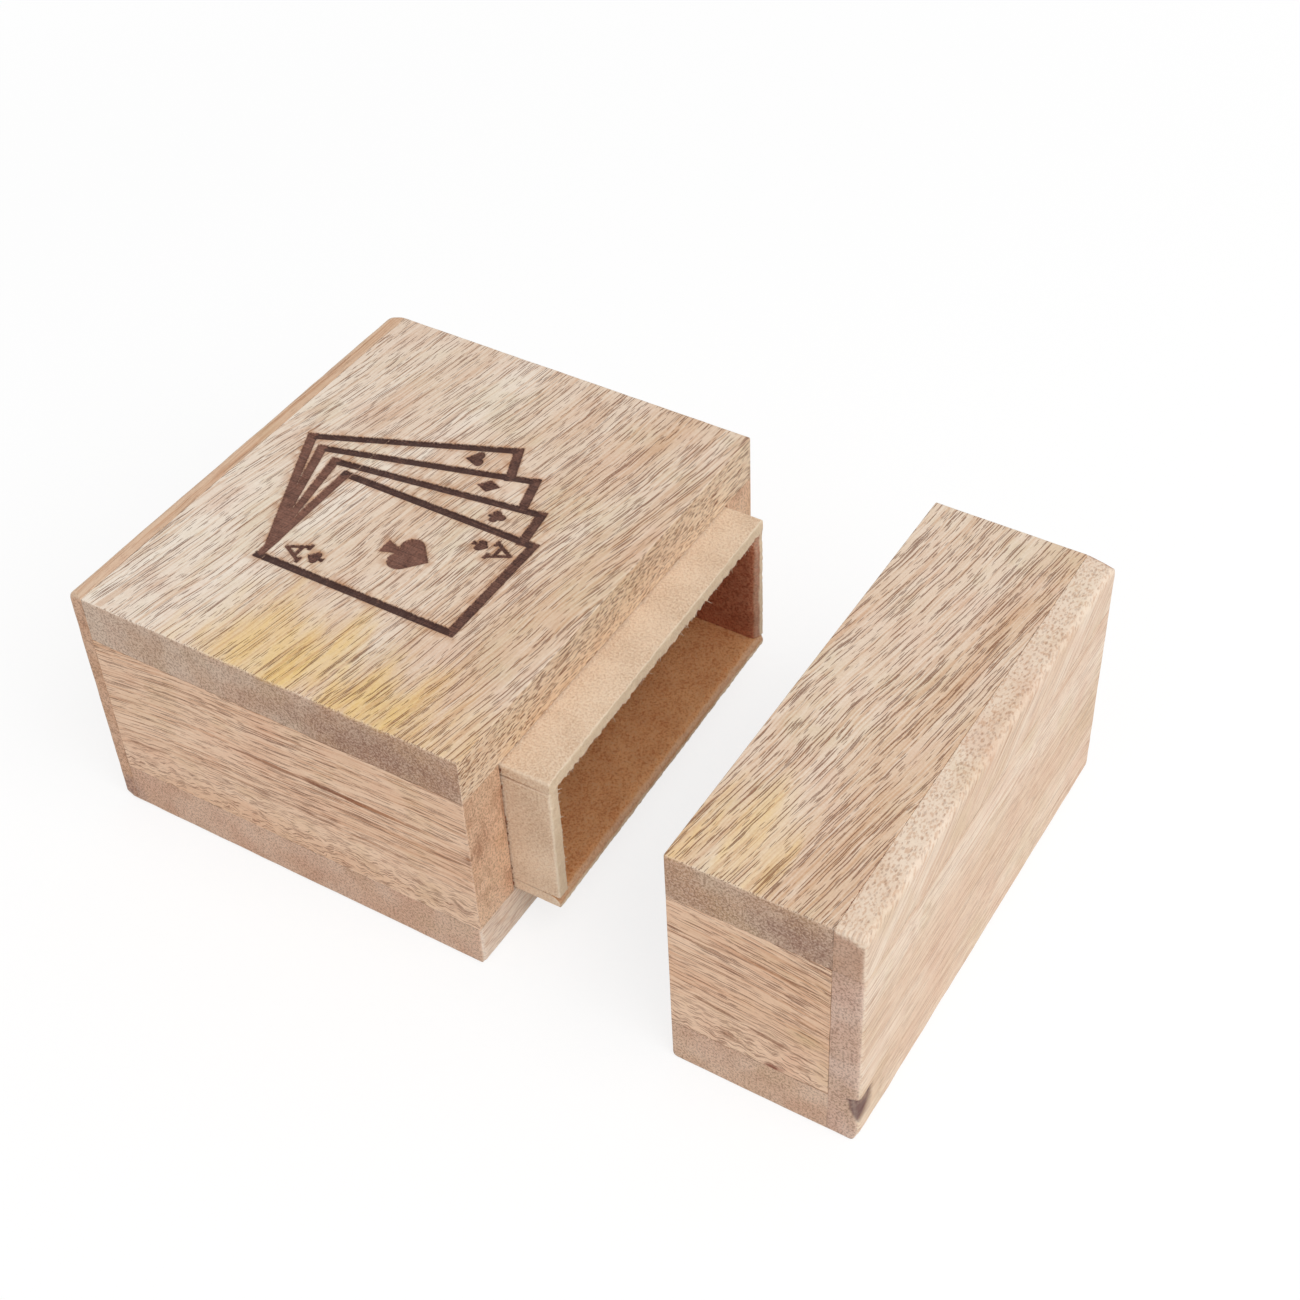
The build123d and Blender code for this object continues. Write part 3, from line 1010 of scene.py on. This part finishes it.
print("signs:", [sign.__name__ for sign in (spade, heart, diamond, club, letter_a)])

# %% [markdown]
# The figure is put together from those shapes. One card lies straight in front, and three fan out behind
# it, each with a sign in its corner. Strokes along the grain burnt hardest, and those beside the pivot
# lightest, so each shape comes with its own strength. One line of the laser was skipped, which leaves a
# thin gap through all strokes that cross it.

# %% Compose the figure


def moved(p, place, degrees):
    """Points seen from a shape's own place and turn."""
    turn = radians(degrees)
    local = p - np.array(place)
    return np.column_stack((local @ (cos(turn), sin(turn)), local @ (-sin(turn), cos(turn))))


fan_signs = ((club, 6.9, 3.1), (diamond, 7.6, 2.9), (heart, 7.1, 2.9))


def figure_shapes(p):
    """Every shape of the figure with how hard it is burnt."""
    length, width = card_size
    half, end_half, pivot_half = card_line / 2, end_line / 2, pivot_line / 2
    middle = (length / 2, width / 2)
    pivot = (half, 2 * card_line)
    skip = np.abs(p[:, 0] - skipped_line_at) - skipped_line / 2
    shapes = [(bar(p, (half, half), (length - half, half), card_line), hard_burn),
              (bar(p, (half, width - half), (length - half, width - half), card_line), hard_burn),
              (bar(p, (length - end_half, end_half), (length - end_half, width - end_half), end_line),
               mid_burn),
              (bar(p, (pivot_half, width - pivot_half), (pivot_half, pivot_half), pivot_line,
                   pivot_line_end), light_burn),
              (spade(moved(p, (middle[0] + ace_shift, middle[1]), 0), ace_size), light_burn)]
    for side, turn, inset in ((1, 0, index_inset[0]), (-1, 180, index_inset[1])):
        place = [middle[n] + side * (middle[n] - inset[n]) for n in (0, 1)]
        local = moved(p, place, turn)
        shapes.append((letter_a(local), mid_burn))
        shapes.append((spade(local + np.array((index_step, 0)), index_size), mid_burn))
    for (slope, start, run), (sign, from_end, below_edge) in zip(fan, fan_signs):
        along = np.array((cos(radians(slope)), sin(radians(slope))))
        down = np.array((along[1], -along[0]))
        last = np.array(start) + run * along
        place = last - from_end * along + below_edge * down
        shapes.append((bar(p, start, last, card_line), hard_burn))
        shapes.append((bar(p, last, last + fan_drop * down, end_line), mid_burn))
        shapes.append((bar(p, start, pivot, fan_line, fan_line_end), light_burn))
        shapes.append((sign(moved(p, place, slope), index_size), mid_burn))
    return [(np.minimum(d, skip) if burn == hard_burn else d, burn) for d, burn in shapes]


def figure_field(p):
    """Distance into the figure, and how hard the nearest shape is burnt."""
    inside = np.full(len(p), far_outside)
    char = np.zeros(len(p))
    for distance, strength in figure_shapes(p):
        nearer = distance > inside
        inside = np.where(nearer, distance, inside)
        char = np.where(nearer, strength, char)
    return inside, char


print("the figure has", len(figure_shapes(np.zeros((1, 2)))), "shapes")

# %% [markdown]
# Carving. The lattice's points don't fall on the outlines by themselves, so the ones beside an outline are
# first pulled on to it, along the slope of the distance. Then what lies inside sinks by the burn's depth,
# with a slight ripple. The walls are as steep as one step of the lattice allows.

# %% Carve the figure
ground_slope = 0.10
pull_reach = 0.45 * figure_spacing
nudge, least_slope, pull_share = 0.02, 0.3, 0.9


def carve_figure(points, low, high):
    """Pull points beside an outline on to it, then sink what lies inside."""
    closed_end = node_box("case_end_board")[0][0]
    corner = np.array((closed_end + figure_corner[0], low[1] + figure_corner[1]))
    on_top = np.abs(points[:, 2] - high[2]) < 0.01
    plan = points[on_top, :2] - corner
    for _ in range(3):
        inside, _char = figure_field(plan)
        slope_x = (figure_field(plan + (nudge, 0))[0] - inside) / nudge
        slope_y = (figure_field(plan + (0, nudge))[0] - inside) / nudge
        steep = np.maximum(np.hypot(slope_x, slope_y), least_slope)
        pull = np.where(np.abs(inside) < pull_reach, -inside / steep ** 2, 0) * pull_share
        plan = plan + np.column_stack((slope_x * pull, slope_y * pull))
    inside, char = figure_field(plan)
    points[on_top, :2] = plan + corner
    sunk = np.clip((inside + 0.02) / ground_slope, 0, 1)
    ripple = np.array([rough((x, y, 0), 1.7, 4.0) for x, y in plan])
    points[on_top, 2] -= sunk * (burn_depth + burn_ripple * ripple)
    field = np.full(len(points), far_outside)
    field[on_top] = inside
    burnt = np.zeros(len(points))
    burnt[on_top] = char
    print(int((inside > 0).sum()), "points lie inside the figure")
    return points, {"figure": field, "char": burnt}


print("an outline pulls the points within", round(pull_reach, 3), "mm of it")

# %% [markdown]
# How round the edges are. All boards were sanded together after gluing, so the outer edges are soft. The
# mouth was sawn and only lightly sanded, so its edges stay crisper. The closed ends are the most worn, and
# their corners are round in all directions. That last part can't be had from rolled edges alone, so a
# board of the closed end gets its corners drawn in afterwards.

# %% Edges and corners
mouth_radius = 0.22
floor_radius = 1.5
end_radius = 1.3
corner_radius = 2.4
corner_step = 1.3


def outline(up, mouth):
    """Edge radii of a full-width board: up is 3 for a top and -3 for a bottom, mouth the mouth's side."""
    return {(-2, up): outer, (2, up): outer, (mouth, -2): mouth_radius, (mouth, 2): mouth_radius,
            (mouth, up): mouth_radius}


def worn_corners(end, ups):
    """Round a closed end's corners, most at its face. Ups holds -1 for low and 1 for high corners."""
    def carve(points, low, high):
        middle, half = (low + high) / 2, (high - low) / 2
        outward = np.clip((end * (points[:, 0] - middle[0]) / half[0] + 1) / 2, 0, 1)
        for n, share in enumerate(outward):
            offset = points[n, 1:] - middle[1:]
            radius = corner_radius * share
            past = np.abs(offset) - (half[1:] - radius)
            length = np.hypot(*past)
            wanted = (offset[1] > 0) * 2 - 1 in ups
            if wanted and radius > 0 and past.min() > 0 and length > radius:
                points[n, 1:] = middle[1:] + np.sign(offset) * (half[1:] - radius + past * radius / length)
        return points, {}
    return carve


print("edges from", mouth_radius, "mm at the mouth to", corner_radius, "mm at the closed ends' corners")

# %% [markdown]
# The case's finishes. The top and bottom boards run across the box, so their near edges are end grain. The
# side boards run along it. The end board runs across it again. Tints are the photograph's: the sides are
# redder than the top, and end grain is darker.

# %% Finishes of the case
top_wood = {"along": "y", "tilt": 8.5, "marks": (*heartwood, *plum_edges)}
bottom_wood = {"along": "y", "tilt": 4.0, "seed": 1.0, "pores": 0.4, "drift": 0.0,
               "tint": (1.0, 0.97, 0.96, 1)}
side_wood = {"along": "x", "drift": 0.0, "fine": 0.75, "tint": (1.0, 0.81, 0.68, 1),
             "end_tint": (0.92, 0.89, 0.85, 1), "end_cloud": 0.3}
near_wood = {**side_wood, "tilt": 1.0, "seed": 2.0, "arch": (0.0013, 14.0), "curl": (12.0, 23.0)}
far_wood = {**side_wood, "tilt": -2.0, "seed": 3.0, "pores": 0.75}

# The case top's cut face at the mouth takes painted light.
case_top_finish = burnt_wood("case_top_wood", sawn=(1, 0, 0), **top_wood)
case_bottom_finish = plain_wood("case_bottom_wood", end_tint=(0.82, 0.67, 0.59, 1),
                                marks=(grey_corner, worn_corner), **bottom_wood)
case_near_finish = plain_wood("case_near_wood", marks=case_near_marks, **near_wood)
case_far_finish = plain_wood("case_far_wood", **far_wood)
case_end_finish = plain_wood("case_end_wood", seed=4.0, pores=0.35, drift=0.0,
                             tint=(0.845, 0.70, 0.59, 1), end_tint=(0.94, 0.83, 0.78, 1), end_cloud=0.1,
                             marks=(grey_corner,))

# %% [markdown]
# The case's five boards. The top and bottom run the full width and the sides stand between them. The top
# has a fine lattice where the figure lies, and its underside, which nobody sees, is one plain face.

# %% The case's boards
closed_end_x = node_box("case_end_board")[0][0]
near_y = node_box("case_top_board")[0][1]
figure_x, figure_y = (8.5, 62.5), (21.5, 69.0)
fine = (np.arange(closed_end_x + figure_x[0], closed_end_x + figure_x[1], figure_spacing),
        np.arange(near_y + figure_y[0], near_y + figure_y[1], figure_spacing), ())

sanded_board("case_top_sanded", "case_top_board", case_top_finish, outline(3, 1), seed=1.0,
             carve=carve_figure, extra=fine, plain_underside=True)
sanded_board("case_bottom_sanded", "case_bottom_board", case_bottom_finish,
             {**outline(-3, 1), (1, -3): floor_radius, (1, -2): 0.9, (-2, -3): outer * 2}, seed=2.0)
sanded_board("case_near_sanded", "case_near_side", case_near_finish, {(1, -2): mouth_radius}, seed=3.0)
sanded_board("case_far_sanded", "case_far_side", case_far_finish, {(1, 2): mouth_radius}, seed=4.0)
sanded_board("case_end_sanded", "case_end_board", case_end_finish,
             {(-1, 3): end_radius * 0.7, (-1, -3): end_radius * 1.6, (-1, -2): end_radius * 0.7,
              (-1, 2): end_radius * 1.5, (-2, 3): outer, (2, 3): outer, (-2, -3): outer * 2,
              (2, -3): outer}, wear=0.25, step=corner_step, seed=5.0, carve=worn_corners(-1, (-1, 1)))

# %% [markdown]
# The cap is the box's other end, with the same boards and grain. At the near low corner a knot has fallen
# out of its end board and left a chip: sharp at the top, shallow towards the floor, and dark with bark.
# The chip is carved into the lattice, so that it shows in the outline too.

# %% The chip in the cap
chip_low, chip_high = 4.6, 10.6
chip_reach, chip_depth, chip_lip = 4.5, 1.0, 0.5
chip_run, chip_grit, chip_roof = 4.5, 0.25, 0.35


def chip_corner(points, low, high):
    """Sink the chip into the closed end, and tell how dark each point of it is."""
    rise = (points[:, 2] - chip_low) / (chip_high - chip_low)
    under_top = 1 - np.clip((points[:, 2] - chip_high) / chip_roof, 0, 1)
    bowl = np.clip(rise, 0, 1) ** 0.7 * under_top
    bowl = bowl * np.clip(1 - (points[:, 1] - low[1]) / chip_reach, 0, 1) ** 0.6
    from_end = high[0] - points[:, 0]
    near_side = points[:, 1] < low[1] + 0.5
    dark = np.where(near_side, np.clip((bowl * (chip_depth + chip_lip) - from_end) / 0.3, 0, 1),
                    np.clip(bowl * 3, 0, 1) * (from_end < 1.0))
    grit = np.array([rough(p, 0.9, 2.0) for p in points])
    points[:, 0] -= bowl * np.clip(1 - from_end / chip_run, 0, 1) * (chip_depth + chip_grit * grit)
    return points, {"chip": dark}


print("chip from", chip_low, "to", chip_high, "mm above the floor")

# %% [markdown]
# The cap's finishes are the case's, moved by the cap's travel, so that the grain meets at the seam when
# the box is closed. Their inner faces were never sanded, and they are browner, partly in their own tone and
# partly in painted shade. The closed end has two pieces, a lower board and a strip above it whose grain
# runs at a slant.

# %% Finishes of the cap


def cap_wood(name, **grain):
    return plain_wood(name, shift=home_shift, **grain)


# The cap top's cut face at the mouth takes painted light.
cap_top_finish = cap_wood("cap_top_wood", inward=(0, 0, -1), sawn=(-1, 0, 0), **top_wood)
cap_bottom_finish = cap_wood("cap_bottom_wood", inward=(0, 0, 1), end_tint=(0.84, 0.71, 0.63, 1),
                             **bottom_wood)
cap_near_finish = cap_wood("cap_near_wood", inward=(0, 1, 0), marks=cap_near_marks, **near_wood)
cap_far_finish = cap_wood("cap_far_wood", inward=(0, -1, 0), **far_wood)
cap_end_finish = cap_wood("cap_end_wood", seed=5.0, pores=0.4, drift=0.0, end_cloud=0.1,
                          tint=(0.95, 0.88, 0.82, 1), end_tint=(0.85, 0.75, 0.75, 1), inward=(-1, 0, 0))
strip_finish = cap_wood("cap_strip_wood", along="z", tilt=58.0, seed=6.0, pores=0.35, fine=2.0, drift=0.0,
                        tint=(0.93, 0.86, 0.80, 1), end_tint=(0.72, 0.56, 0.50, 1), end_cloud=0.1)

# %% [markdown]
# The cap's six pieces. Its mouth looks towards the case, so the mouth's edges are on the other side of x.
# The end board has extra lines round the chip.

# %% The cap's boards
cap_mouth = -1
end_sides = {(1, -2): end_radius * 0.7, (1, 2): end_radius}
round_chip = (np.arange(105.6, 107.6, 0.2), np.arange(-44.5, -39.5, 0.3), np.arange(3.0, 11.4, 0.25))

sanded_board("cap_top_sanded", "cap_top_board", cap_top_finish, outline(3, cap_mouth), seed=6.0)
sanded_board("cap_bottom_sanded", "cap_bottom_board", cap_bottom_finish,
             {**outline(-3, cap_mouth), (cap_mouth, -3): floor_radius}, seed=7.0)
sanded_board("cap_near_sanded", "cap_near_side", cap_near_finish, {(cap_mouth, -2): mouth_radius},
             seed=8.0)
sanded_board("cap_far_sanded", "cap_far_side", cap_far_finish, {(cap_mouth, 2): mouth_radius}, seed=9.0)
sanded_board("cap_end_sanded", "cap_end_board", cap_end_finish,
             {**end_sides, (-2, -3): outer, (2, -3): outer, (1, -3): end_radius * 1.8}, seed=10.0,
             carve=chip_corner, extra=round_chip)
sanded_board("cap_strip_sanded", "cap_end_strip", strip_finish,
             {**end_sides, (1, 3): end_radius, (-2, 3): outer, (2, 3): outer,
              (cap_mouth, 3): mouth_radius}, step=corner_step, seed=11.0, carve=worn_corners(1, (1,)))

# %% [markdown]
# The sleeve that carries the cap is four strips of raw fibreboard: felted wood fibre without grain, pale
# outside, and tanned brown inside. Felt is drawn as three sets of short fibres that cross each other, with
# dark and pale specks and a slow cloud under them.

# %% Fibreboard finish
FELT = linear(248, 222, 194)
# The next colour is the cut front's: partly paler cut fibre, partly painted light that lifts the shade on
# the front.
PALE_CUT_FELT_AND_LIGHT = linear(255, 236, 204)
FELT_LIGHT = linear(250, 234, 212)
FELT_DARK = linear(202, 166, 134)
TANNED = linear(236, 178, 124)
TANNED_DARK = linear(196, 126, 76)
fibre_turns = (15, 75, 135)
fibre_length, fibre_width = 1.8, 0.22
felt_roughness, felt_relief = 0.85, 0.18 * MM
tan_blur = 0.5


def felted_fibres(finish, spot):
    """1 on a fibre and 0 between, over fibres that lie in several directions."""
    felt = None
    for turn in fibre_turns:
        lean, straight = sin(radians(turn)), cos(radians(turn))
        along = finish.dot(spot, (straight, lean, 0.5)) / fibre_length
        across = finish.dot(spot, (-lean, straight, 0.7)) / fibre_width
        fibres = finish.noise(finish.join(along, across, turn), detail=1.0)
        felt = fibres if felt is None else felt.highest(fibres)
    return felt


def fibreboard(name, inward, tanned, tanned_dark, tan_from=None):
    """The face that looks inward is tanned, and so is the cut front past tan_from, where one is given. The
    rest of the cut front is paler, partly painted light.
    """
    finish = new_finish(name)
    spot = finish.place()
    felt = felted_fibres(finish, spot)
    cloud = finish.noise(spot, size=6.0, detail=3.0, rough=0.6)
    slow_cloud = finish.noise(spot, size=14.0).step(0.4, 0.7)
    specks = finish.noise(spot, size=0.42, rough=0.8)
    dark_speck, pale_speck = 1 - specks.step(0.34, 0.56), specks.step(0.52, 0.68)
    light_fibre = felt.step(0.58, 0.72)

    shade = slow_cloud * 0.25 + cloud.step(0.4, 0.7) * 0.2 + dark_speck * 0.5
    outside = finish.mix(FELT, FELT_DARK, shade)
    outside = finish.mix(outside, FELT_LIGHT, (light_fibre * 0.4).highest(pale_speck * 0.6))
    inside = finish.mix(tanned, tanned_dark, cloud.step(0.35, 0.65) * 0.3 + dark_speck * 0.9)
    inside = finish.mix(inside, FELT_DARK, (light_fibre * 0.2).highest(pale_speck * 0.45))
    faces_in = finish.facing(inward, 0.4, 0.8)
    sawn = finish.facing((1, 0, 0), 0.5, 0.9)
    colour = finish.mix(outside, inside, faces_in)
    # Partly painted light: the cut front is paler, as cut fibre is, and lifted further against the shade
    # that falls on it.
    colour = finish.mix(colour, PALE_CUT_FELT_AND_LIGHT, sawn * 0.6)
    if tan_from is not None:
        tanned_front = finish.dot(spot, inward).step(tan_from, tan_from + tan_blur)
        colour = finish.mix(colour, inside, sawn * tanned_front)
    colour = finish.mix(colour, FELT_LIGHT, finish.attribute("edge") * (1 - faces_in) * 0.45)
    glue = finish.attribute("joint") * cloud.step(0.35, 0.6)
    colour = finish.mix(colour, JOINT, glue * 0.4)
    return finish.surface(colour, felt_roughness, felt * 0.6 + specks, felt_relief, specular=0.15)


print("fibres lie at", fibre_turns, "degrees,", fibre_length, "mm long")

# %% [markdown]
# The sawn front. A saw tears fibreboard, so the front is ruffled, and most of all at the lower edge of the
# top panel. The saw also ran slightly askew: the sleeve stands further out at the near side than at the
# far one. Under the top panel the seam opens a little towards the case. All this moves the lattice.

# %% Sawn front of the sleeve
front_run, ruffle_depth = 1.2, 0.13
torn_rim, torn_least, torn_most = 0.3, 0.22, 0.9
seam_opening, seam_start, seam_run = 0.4, 2.0, 5.0
wide_panel = 10


def furry_front(points, low, high):
    """Ruffle the front, tear the top panel's lower edge, open the seam, and set the panels askew."""
    near, far = node_box("sleeve_near_panel")[1], node_box("sleeve_far_panel")[1]
    slant = (near[0] - far[0]) / (far[1] - low[1])
    is_top = low[2] > near[2] - 0.5
    for n in np.nonzero(points[:, 0] > high[0] - front_run)[0]:
        share = np.clip((points[n, 0] - (high[0] - front_run)) / front_run, 0, 1)
        place = points[n] * (0, 1, 1)
        points[n, 0] -= share * ruffle_depth * (1 + rough(place, 0.8, 5.0) + 0.7 * rough(place, 2.6, 6.0))
        if is_top and points[n, 2] < low[2] + torn_rim:
            place = (points[n, 1], 0, 0)
            torn = rough(place, 1.1, 7.0) + 0.6 * rough(place, 0.45, 9.0)
            points[n, 2] -= share * np.clip(torn_least + 0.8 * torn, 0, torn_most)
    if high[2] - low[2] > wide_panel:
        near_top = np.clip(points[:, 2] - high[2] + 1.0, 0, 1)
        inwards = np.clip((high[0] - seam_start - points[:, 0]) / seam_run, 0, 1)
        points[:, 2] -= seam_opening * near_top * inwards
    if high[1] - low[1] > wide_panel:
        forward = (points[:, 0] - low[0]) / (high[0] - low[0])
        points[:, 0] -= forward * slant * (points[:, 1] - low[1])
    return points, {}


print("the seam under the top panel opens by", seam_opening, "mm")

# %% [markdown]
# The four panels. The front edges of the lower and far panels are worn wide and tanned on their inner
# half. The far panel stands in its own shade, so its brown is a little redder.

# %% The sleeve's panels
sleeve_edge, front_edge, worn_edge = 0.5, 0.3, 2.0
tanned_above, tanned_past = 10.1, -35.4
front_spacing, panel_step, panel_wear = 0.28, 6.0, 0.6
brown = (TANNED, TANNED_DARK)
shaded = (linear(206, 130, 98), linear(160, 92, 64))
panels = {
    "top": ((0, 0, -1), brown, None,
            {(-2, 3): sleeve_edge, (2, 3): sleeve_edge, (1, 3): front_edge, (1, -3): front_edge,
             (-2, -3): front_edge}),
    "bottom": ((0, 0, 1), brown, tanned_above,
               {(-2, -3): sleeve_edge, (2, -3): sleeve_edge, (1, 3): worn_edge, (1, -3): front_edge}),
    "near": ((0, 1, 0), brown, None, {(1, -2): 0.6, (1, 2): front_edge, (-2, 3): 0.45}),
    "far": ((0, -1, 0), shaded, tanned_past, {(1, -2): worn_edge, (1, 2): front_edge}),
}
for index, (side, (inward, tans, tan_from, radii)) in enumerate(panels.items()):
    low, high = node_box(f"sleeve_{side}_panel")
    across = 1 if side in ("top", "bottom") else 2
    lines = [(), (), ()]
    lines[across] = np.arange(low[across] + 1, high[across] - 1, front_spacing)
    felt = fibreboard(f"sleeve_{side}_fibreboard", inward, *tans, tan_from)
    sanded_board(f"sleeve_{side}_board", f"sleeve_{side}_panel", felt, radii, wear=panel_wear,
                 step=panel_step, seed=12.0 + index, carve=furry_front, extra=lines)

# %% [markdown]
# Loose fibres hang from the sawn front of the sleeve, most of them at the lower edge of the top panel,
# where the saw broke out. Each is a thin bent three-sided hair. They are joined in one mesh.

# %% A tuft of hairs
hair_radius = 0.075
fray_seed = 20
hair_rings = ((0.0, 1.0), (0.5, 0.8), (1.0, 0.25))
third_turns = (0.0, 2.1, 4.2)
stray_way, stray_bend = 0.45, 0.35


def hairs(name, node, roots, lean, material, lengths=(0.25, 0.8), spread=(1, 1, 1)):
    """Bent hairs from their roots on a node, each leaning its own way round a common direction."""
    random = np.random.default_rng(fray_seed)
    points, faces = [], []
    for root in roots:
        length = random.uniform(*lengths)
        way = np.array(lean) + random.normal(0, stray_way, 3) * spread
        way /= np.linalg.norm(way)
        bend = random.normal(0, stray_bend, 3) * spread
        side = np.cross(way, (0.3, 0.5, 0.8))
        side /= np.linalg.norm(side)
        other = np.cross(way, side)
        first = len(points)
        for share, thick in hair_rings:
            centre = root + way * length * share + bend * length * share ** 2
            for turn in third_turns:
                points.append(centre + (side * cos(turn) + other * sin(turn)) * hair_radius * thick)
        for ring in (first, first + 3):
            for n in range(3):
                m = (n + 1) % 3
                faces.append([ring + n, ring + m, ring + 3 + m, ring + 3 + n])
        faces.append([first, first + 2, first + 1])
        faces.append([first + 6, first + 7, first + 8])
    make_piece(name, np.array(points), faces, material, body_of[node])


def fibre_finish():
    finish = new_finish("loose_fibre")
    shade = finish.noise(finish.place(), size=0.8, detail=1.0)
    colour = finish.mix(FELT_LIGHT, FELT_DARK, shade.step(0.4, 0.8))
    return finish.surface(colour, 0.8, shade, 0.02 * MM, specular=0.15)


print("hairs are", 2 * hair_radius, "mm thick at the root")

# %% [markdown]
# Where the hairs grow: in patches along the top panel's lower front edge, thinly down the near panel's
# inner edge, and five long splinters that lie flat on the far wall inside the cap. The front runs askew,
# so the roots follow its slant.

# %% Fray and splinters
hair_step, rim_gap, near_step = 0.16, 2.6, 0.9
splinters = ((4.5, 36.5), (5.5, 33.0), (6.0, 25.5), (7.5, 31.0), (9.0, 24.0))
random = np.random.default_rng(fray_seed)
fray = fibre_finish()
top_low, top_high = node_box("sleeve_top_panel")
near_low, near_high = node_box("sleeve_near_panel")
crowding = [y for y in np.arange(top_low[1] + rim_gap, top_high[1] - rim_gap, hair_step)
            if random.uniform(0, 1) < 0.5 + 0.45 * rough((y, 0, 0), 4.0, 8.0)]
slant = (top_high[0] - node_box("sleeve_far_panel")[1][0]) / (top_high[1] - top_low[1])
roots = [np.array((top_high[0] - slant * (y - top_low[1]) - random.uniform(0.2, 0.45), y,
                   top_low[2] + 0.05)) for y in crowding]
hairs("front_fray", "sleeve_top_panel", roots, (0.15, 0.0, -1.0), fray)
roots = [np.array((near_high[0] - random.uniform(0.2, 0.5), near_high[1] - 0.12, z))
         for z in np.arange(near_low[2] + 0.5, near_high[2] - 0.5, near_step)]
hairs("near_fray", "sleeve_near_panel", roots, (0.3, 1.0, -0.2), fray)
wall_low = node_box("cap_far_side")[0]
roots = [np.array((wall_low[0] + x, wall_low[1] - 0.06, z)) for x, z in splinters]
hairs("cap_splinters", "cap_far_side", roots, (-0.7, 0.0, -0.45), fray, lengths=(2.0, 4.5),
      spread=(1, 0, 1))

# %% [markdown]
# Where the sleeve was glued in, a little glue came out of the slit beside the near panel and dried brown,
# and so it did in front of the strip on the cap. The crumbs are small squashed lumps of twenty faces.

# %% A crumb of glue
crumb_lump = ((0, 0, 1), (0.9, 0, 0.3), (0.3, 0.85, 0.35), (-0.75, 0.5, 0.3), (-0.7, -0.55, 0.35),
              (0.3, -0.9, 0.3), (0.7, 0.5, -0.4), (-0.3, 0.85, -0.35), (-0.9, 0, -0.4),
              (-0.25, -0.85, -0.4), (0.75, -0.5, -0.35), (0, 0, -1))
crumb_faces = [(0, 1, 2), (0, 2, 3), (0, 3, 4), (0, 4, 5), (0, 5, 1), (1, 6, 2), (2, 7, 3), (3, 8, 4),
               (4, 9, 5), (5, 10, 1), (2, 6, 7), (3, 7, 8), (4, 8, 9), (5, 9, 10), (1, 10, 6),
               (6, 11, 7), (7, 11, 8), (8, 11, 9), (9, 11, 10), (10, 11, 6)]


def dried_glue():
    finish = new_finish("dried_glue")
    shade = finish.noise(finish.place(), size=0.6)
    colour = finish.mix(linear(118, 72, 50), linear(176, 126, 94), shade.step(0.4, 0.7))
    return finish.surface(colour, 0.5, shade, 0.03 * MM)


def crumbs(name, node, centres, sizes, material):
    """One mesh of crumbs beside a node."""
    points, faces = [], []
    for centre, size in zip(centres, sizes):
        first = len(points)
        points += [centre + size * np.array(corner) for corner in crumb_lump]
        faces += [[first + n for n in face] for face in crumb_faces]
    make_piece(name, np.array(points), faces, material, body_of[node])


print("a crumb has", len(crumb_lump), "corners and", len(crumb_faces), "faces")

# %% [markdown]
# The crumbs are laid along the slit and the strip's joint with a seeded random generator, so that every
# run gives the same ones. Most lie low in the slit and near the strip's near end.

# %% Crumbs along the joints
crumb_seed = 31
slit_run, slit_count = 28.0, 30
joint_run, joint_count = 15.0, 16
random = np.random.default_rng(crumb_seed)
glue_brown = dried_glue()
near_board = node_box("case_near_side")[1]
slit_y = (near_board[1] + near_low[1]) / 2
heights = near_low[2] - 1.5 + slit_run * np.sort(random.uniform(0, 1, slit_count)) ** 1.5
centres = [np.array((near_board[0] + random.uniform(-0.15, 0.08), slit_y + random.normal(0, 0.10), z))
           for z in heights]
sizes = [random.uniform(0.08, 0.24) * np.array((0.8, 0.7, random.uniform(0.8, 2.6))) for _ in heights]
crumbs("slit_glue", "sleeve_near_panel", centres, sizes, glue_brown)
strip_low, strip_high = node_box("cap_end_strip")
along_joint = strip_low[1] + 0.8 + joint_run * np.sort(random.uniform(0, 1, joint_count)) ** 1.6
centres = [np.array((strip_low[0] + random.normal(0, 0.06), y, strip_high[2] - 0.10)) for y in along_joint]
sizes = [random.uniform(0.10, 0.20) * np.array((0.8, random.uniform(0.8, 2.0), 0.8)) for _ in along_joint]
crumbs("strip_glue", "cap_end_strip", centres, sizes, glue_brown)

# %% [markdown]
# Last, the size: the far corners of the solids and of the dressed box are printed side by side. The
# dressed box has to be as large as the solids.

# %% Print the sizes and finish
final_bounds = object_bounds()
for words, corners in (("solids end at", cad_bounds), ("dressed ends at", final_bounds)):
    print(words, [round(float(value), 4) for value in corners[1]], "m")
sizes = {"cad": [list(map(float, corner)) for corner in cad_bounds],
         "visual": [list(map(float, corner)) for corner in final_bounds]}
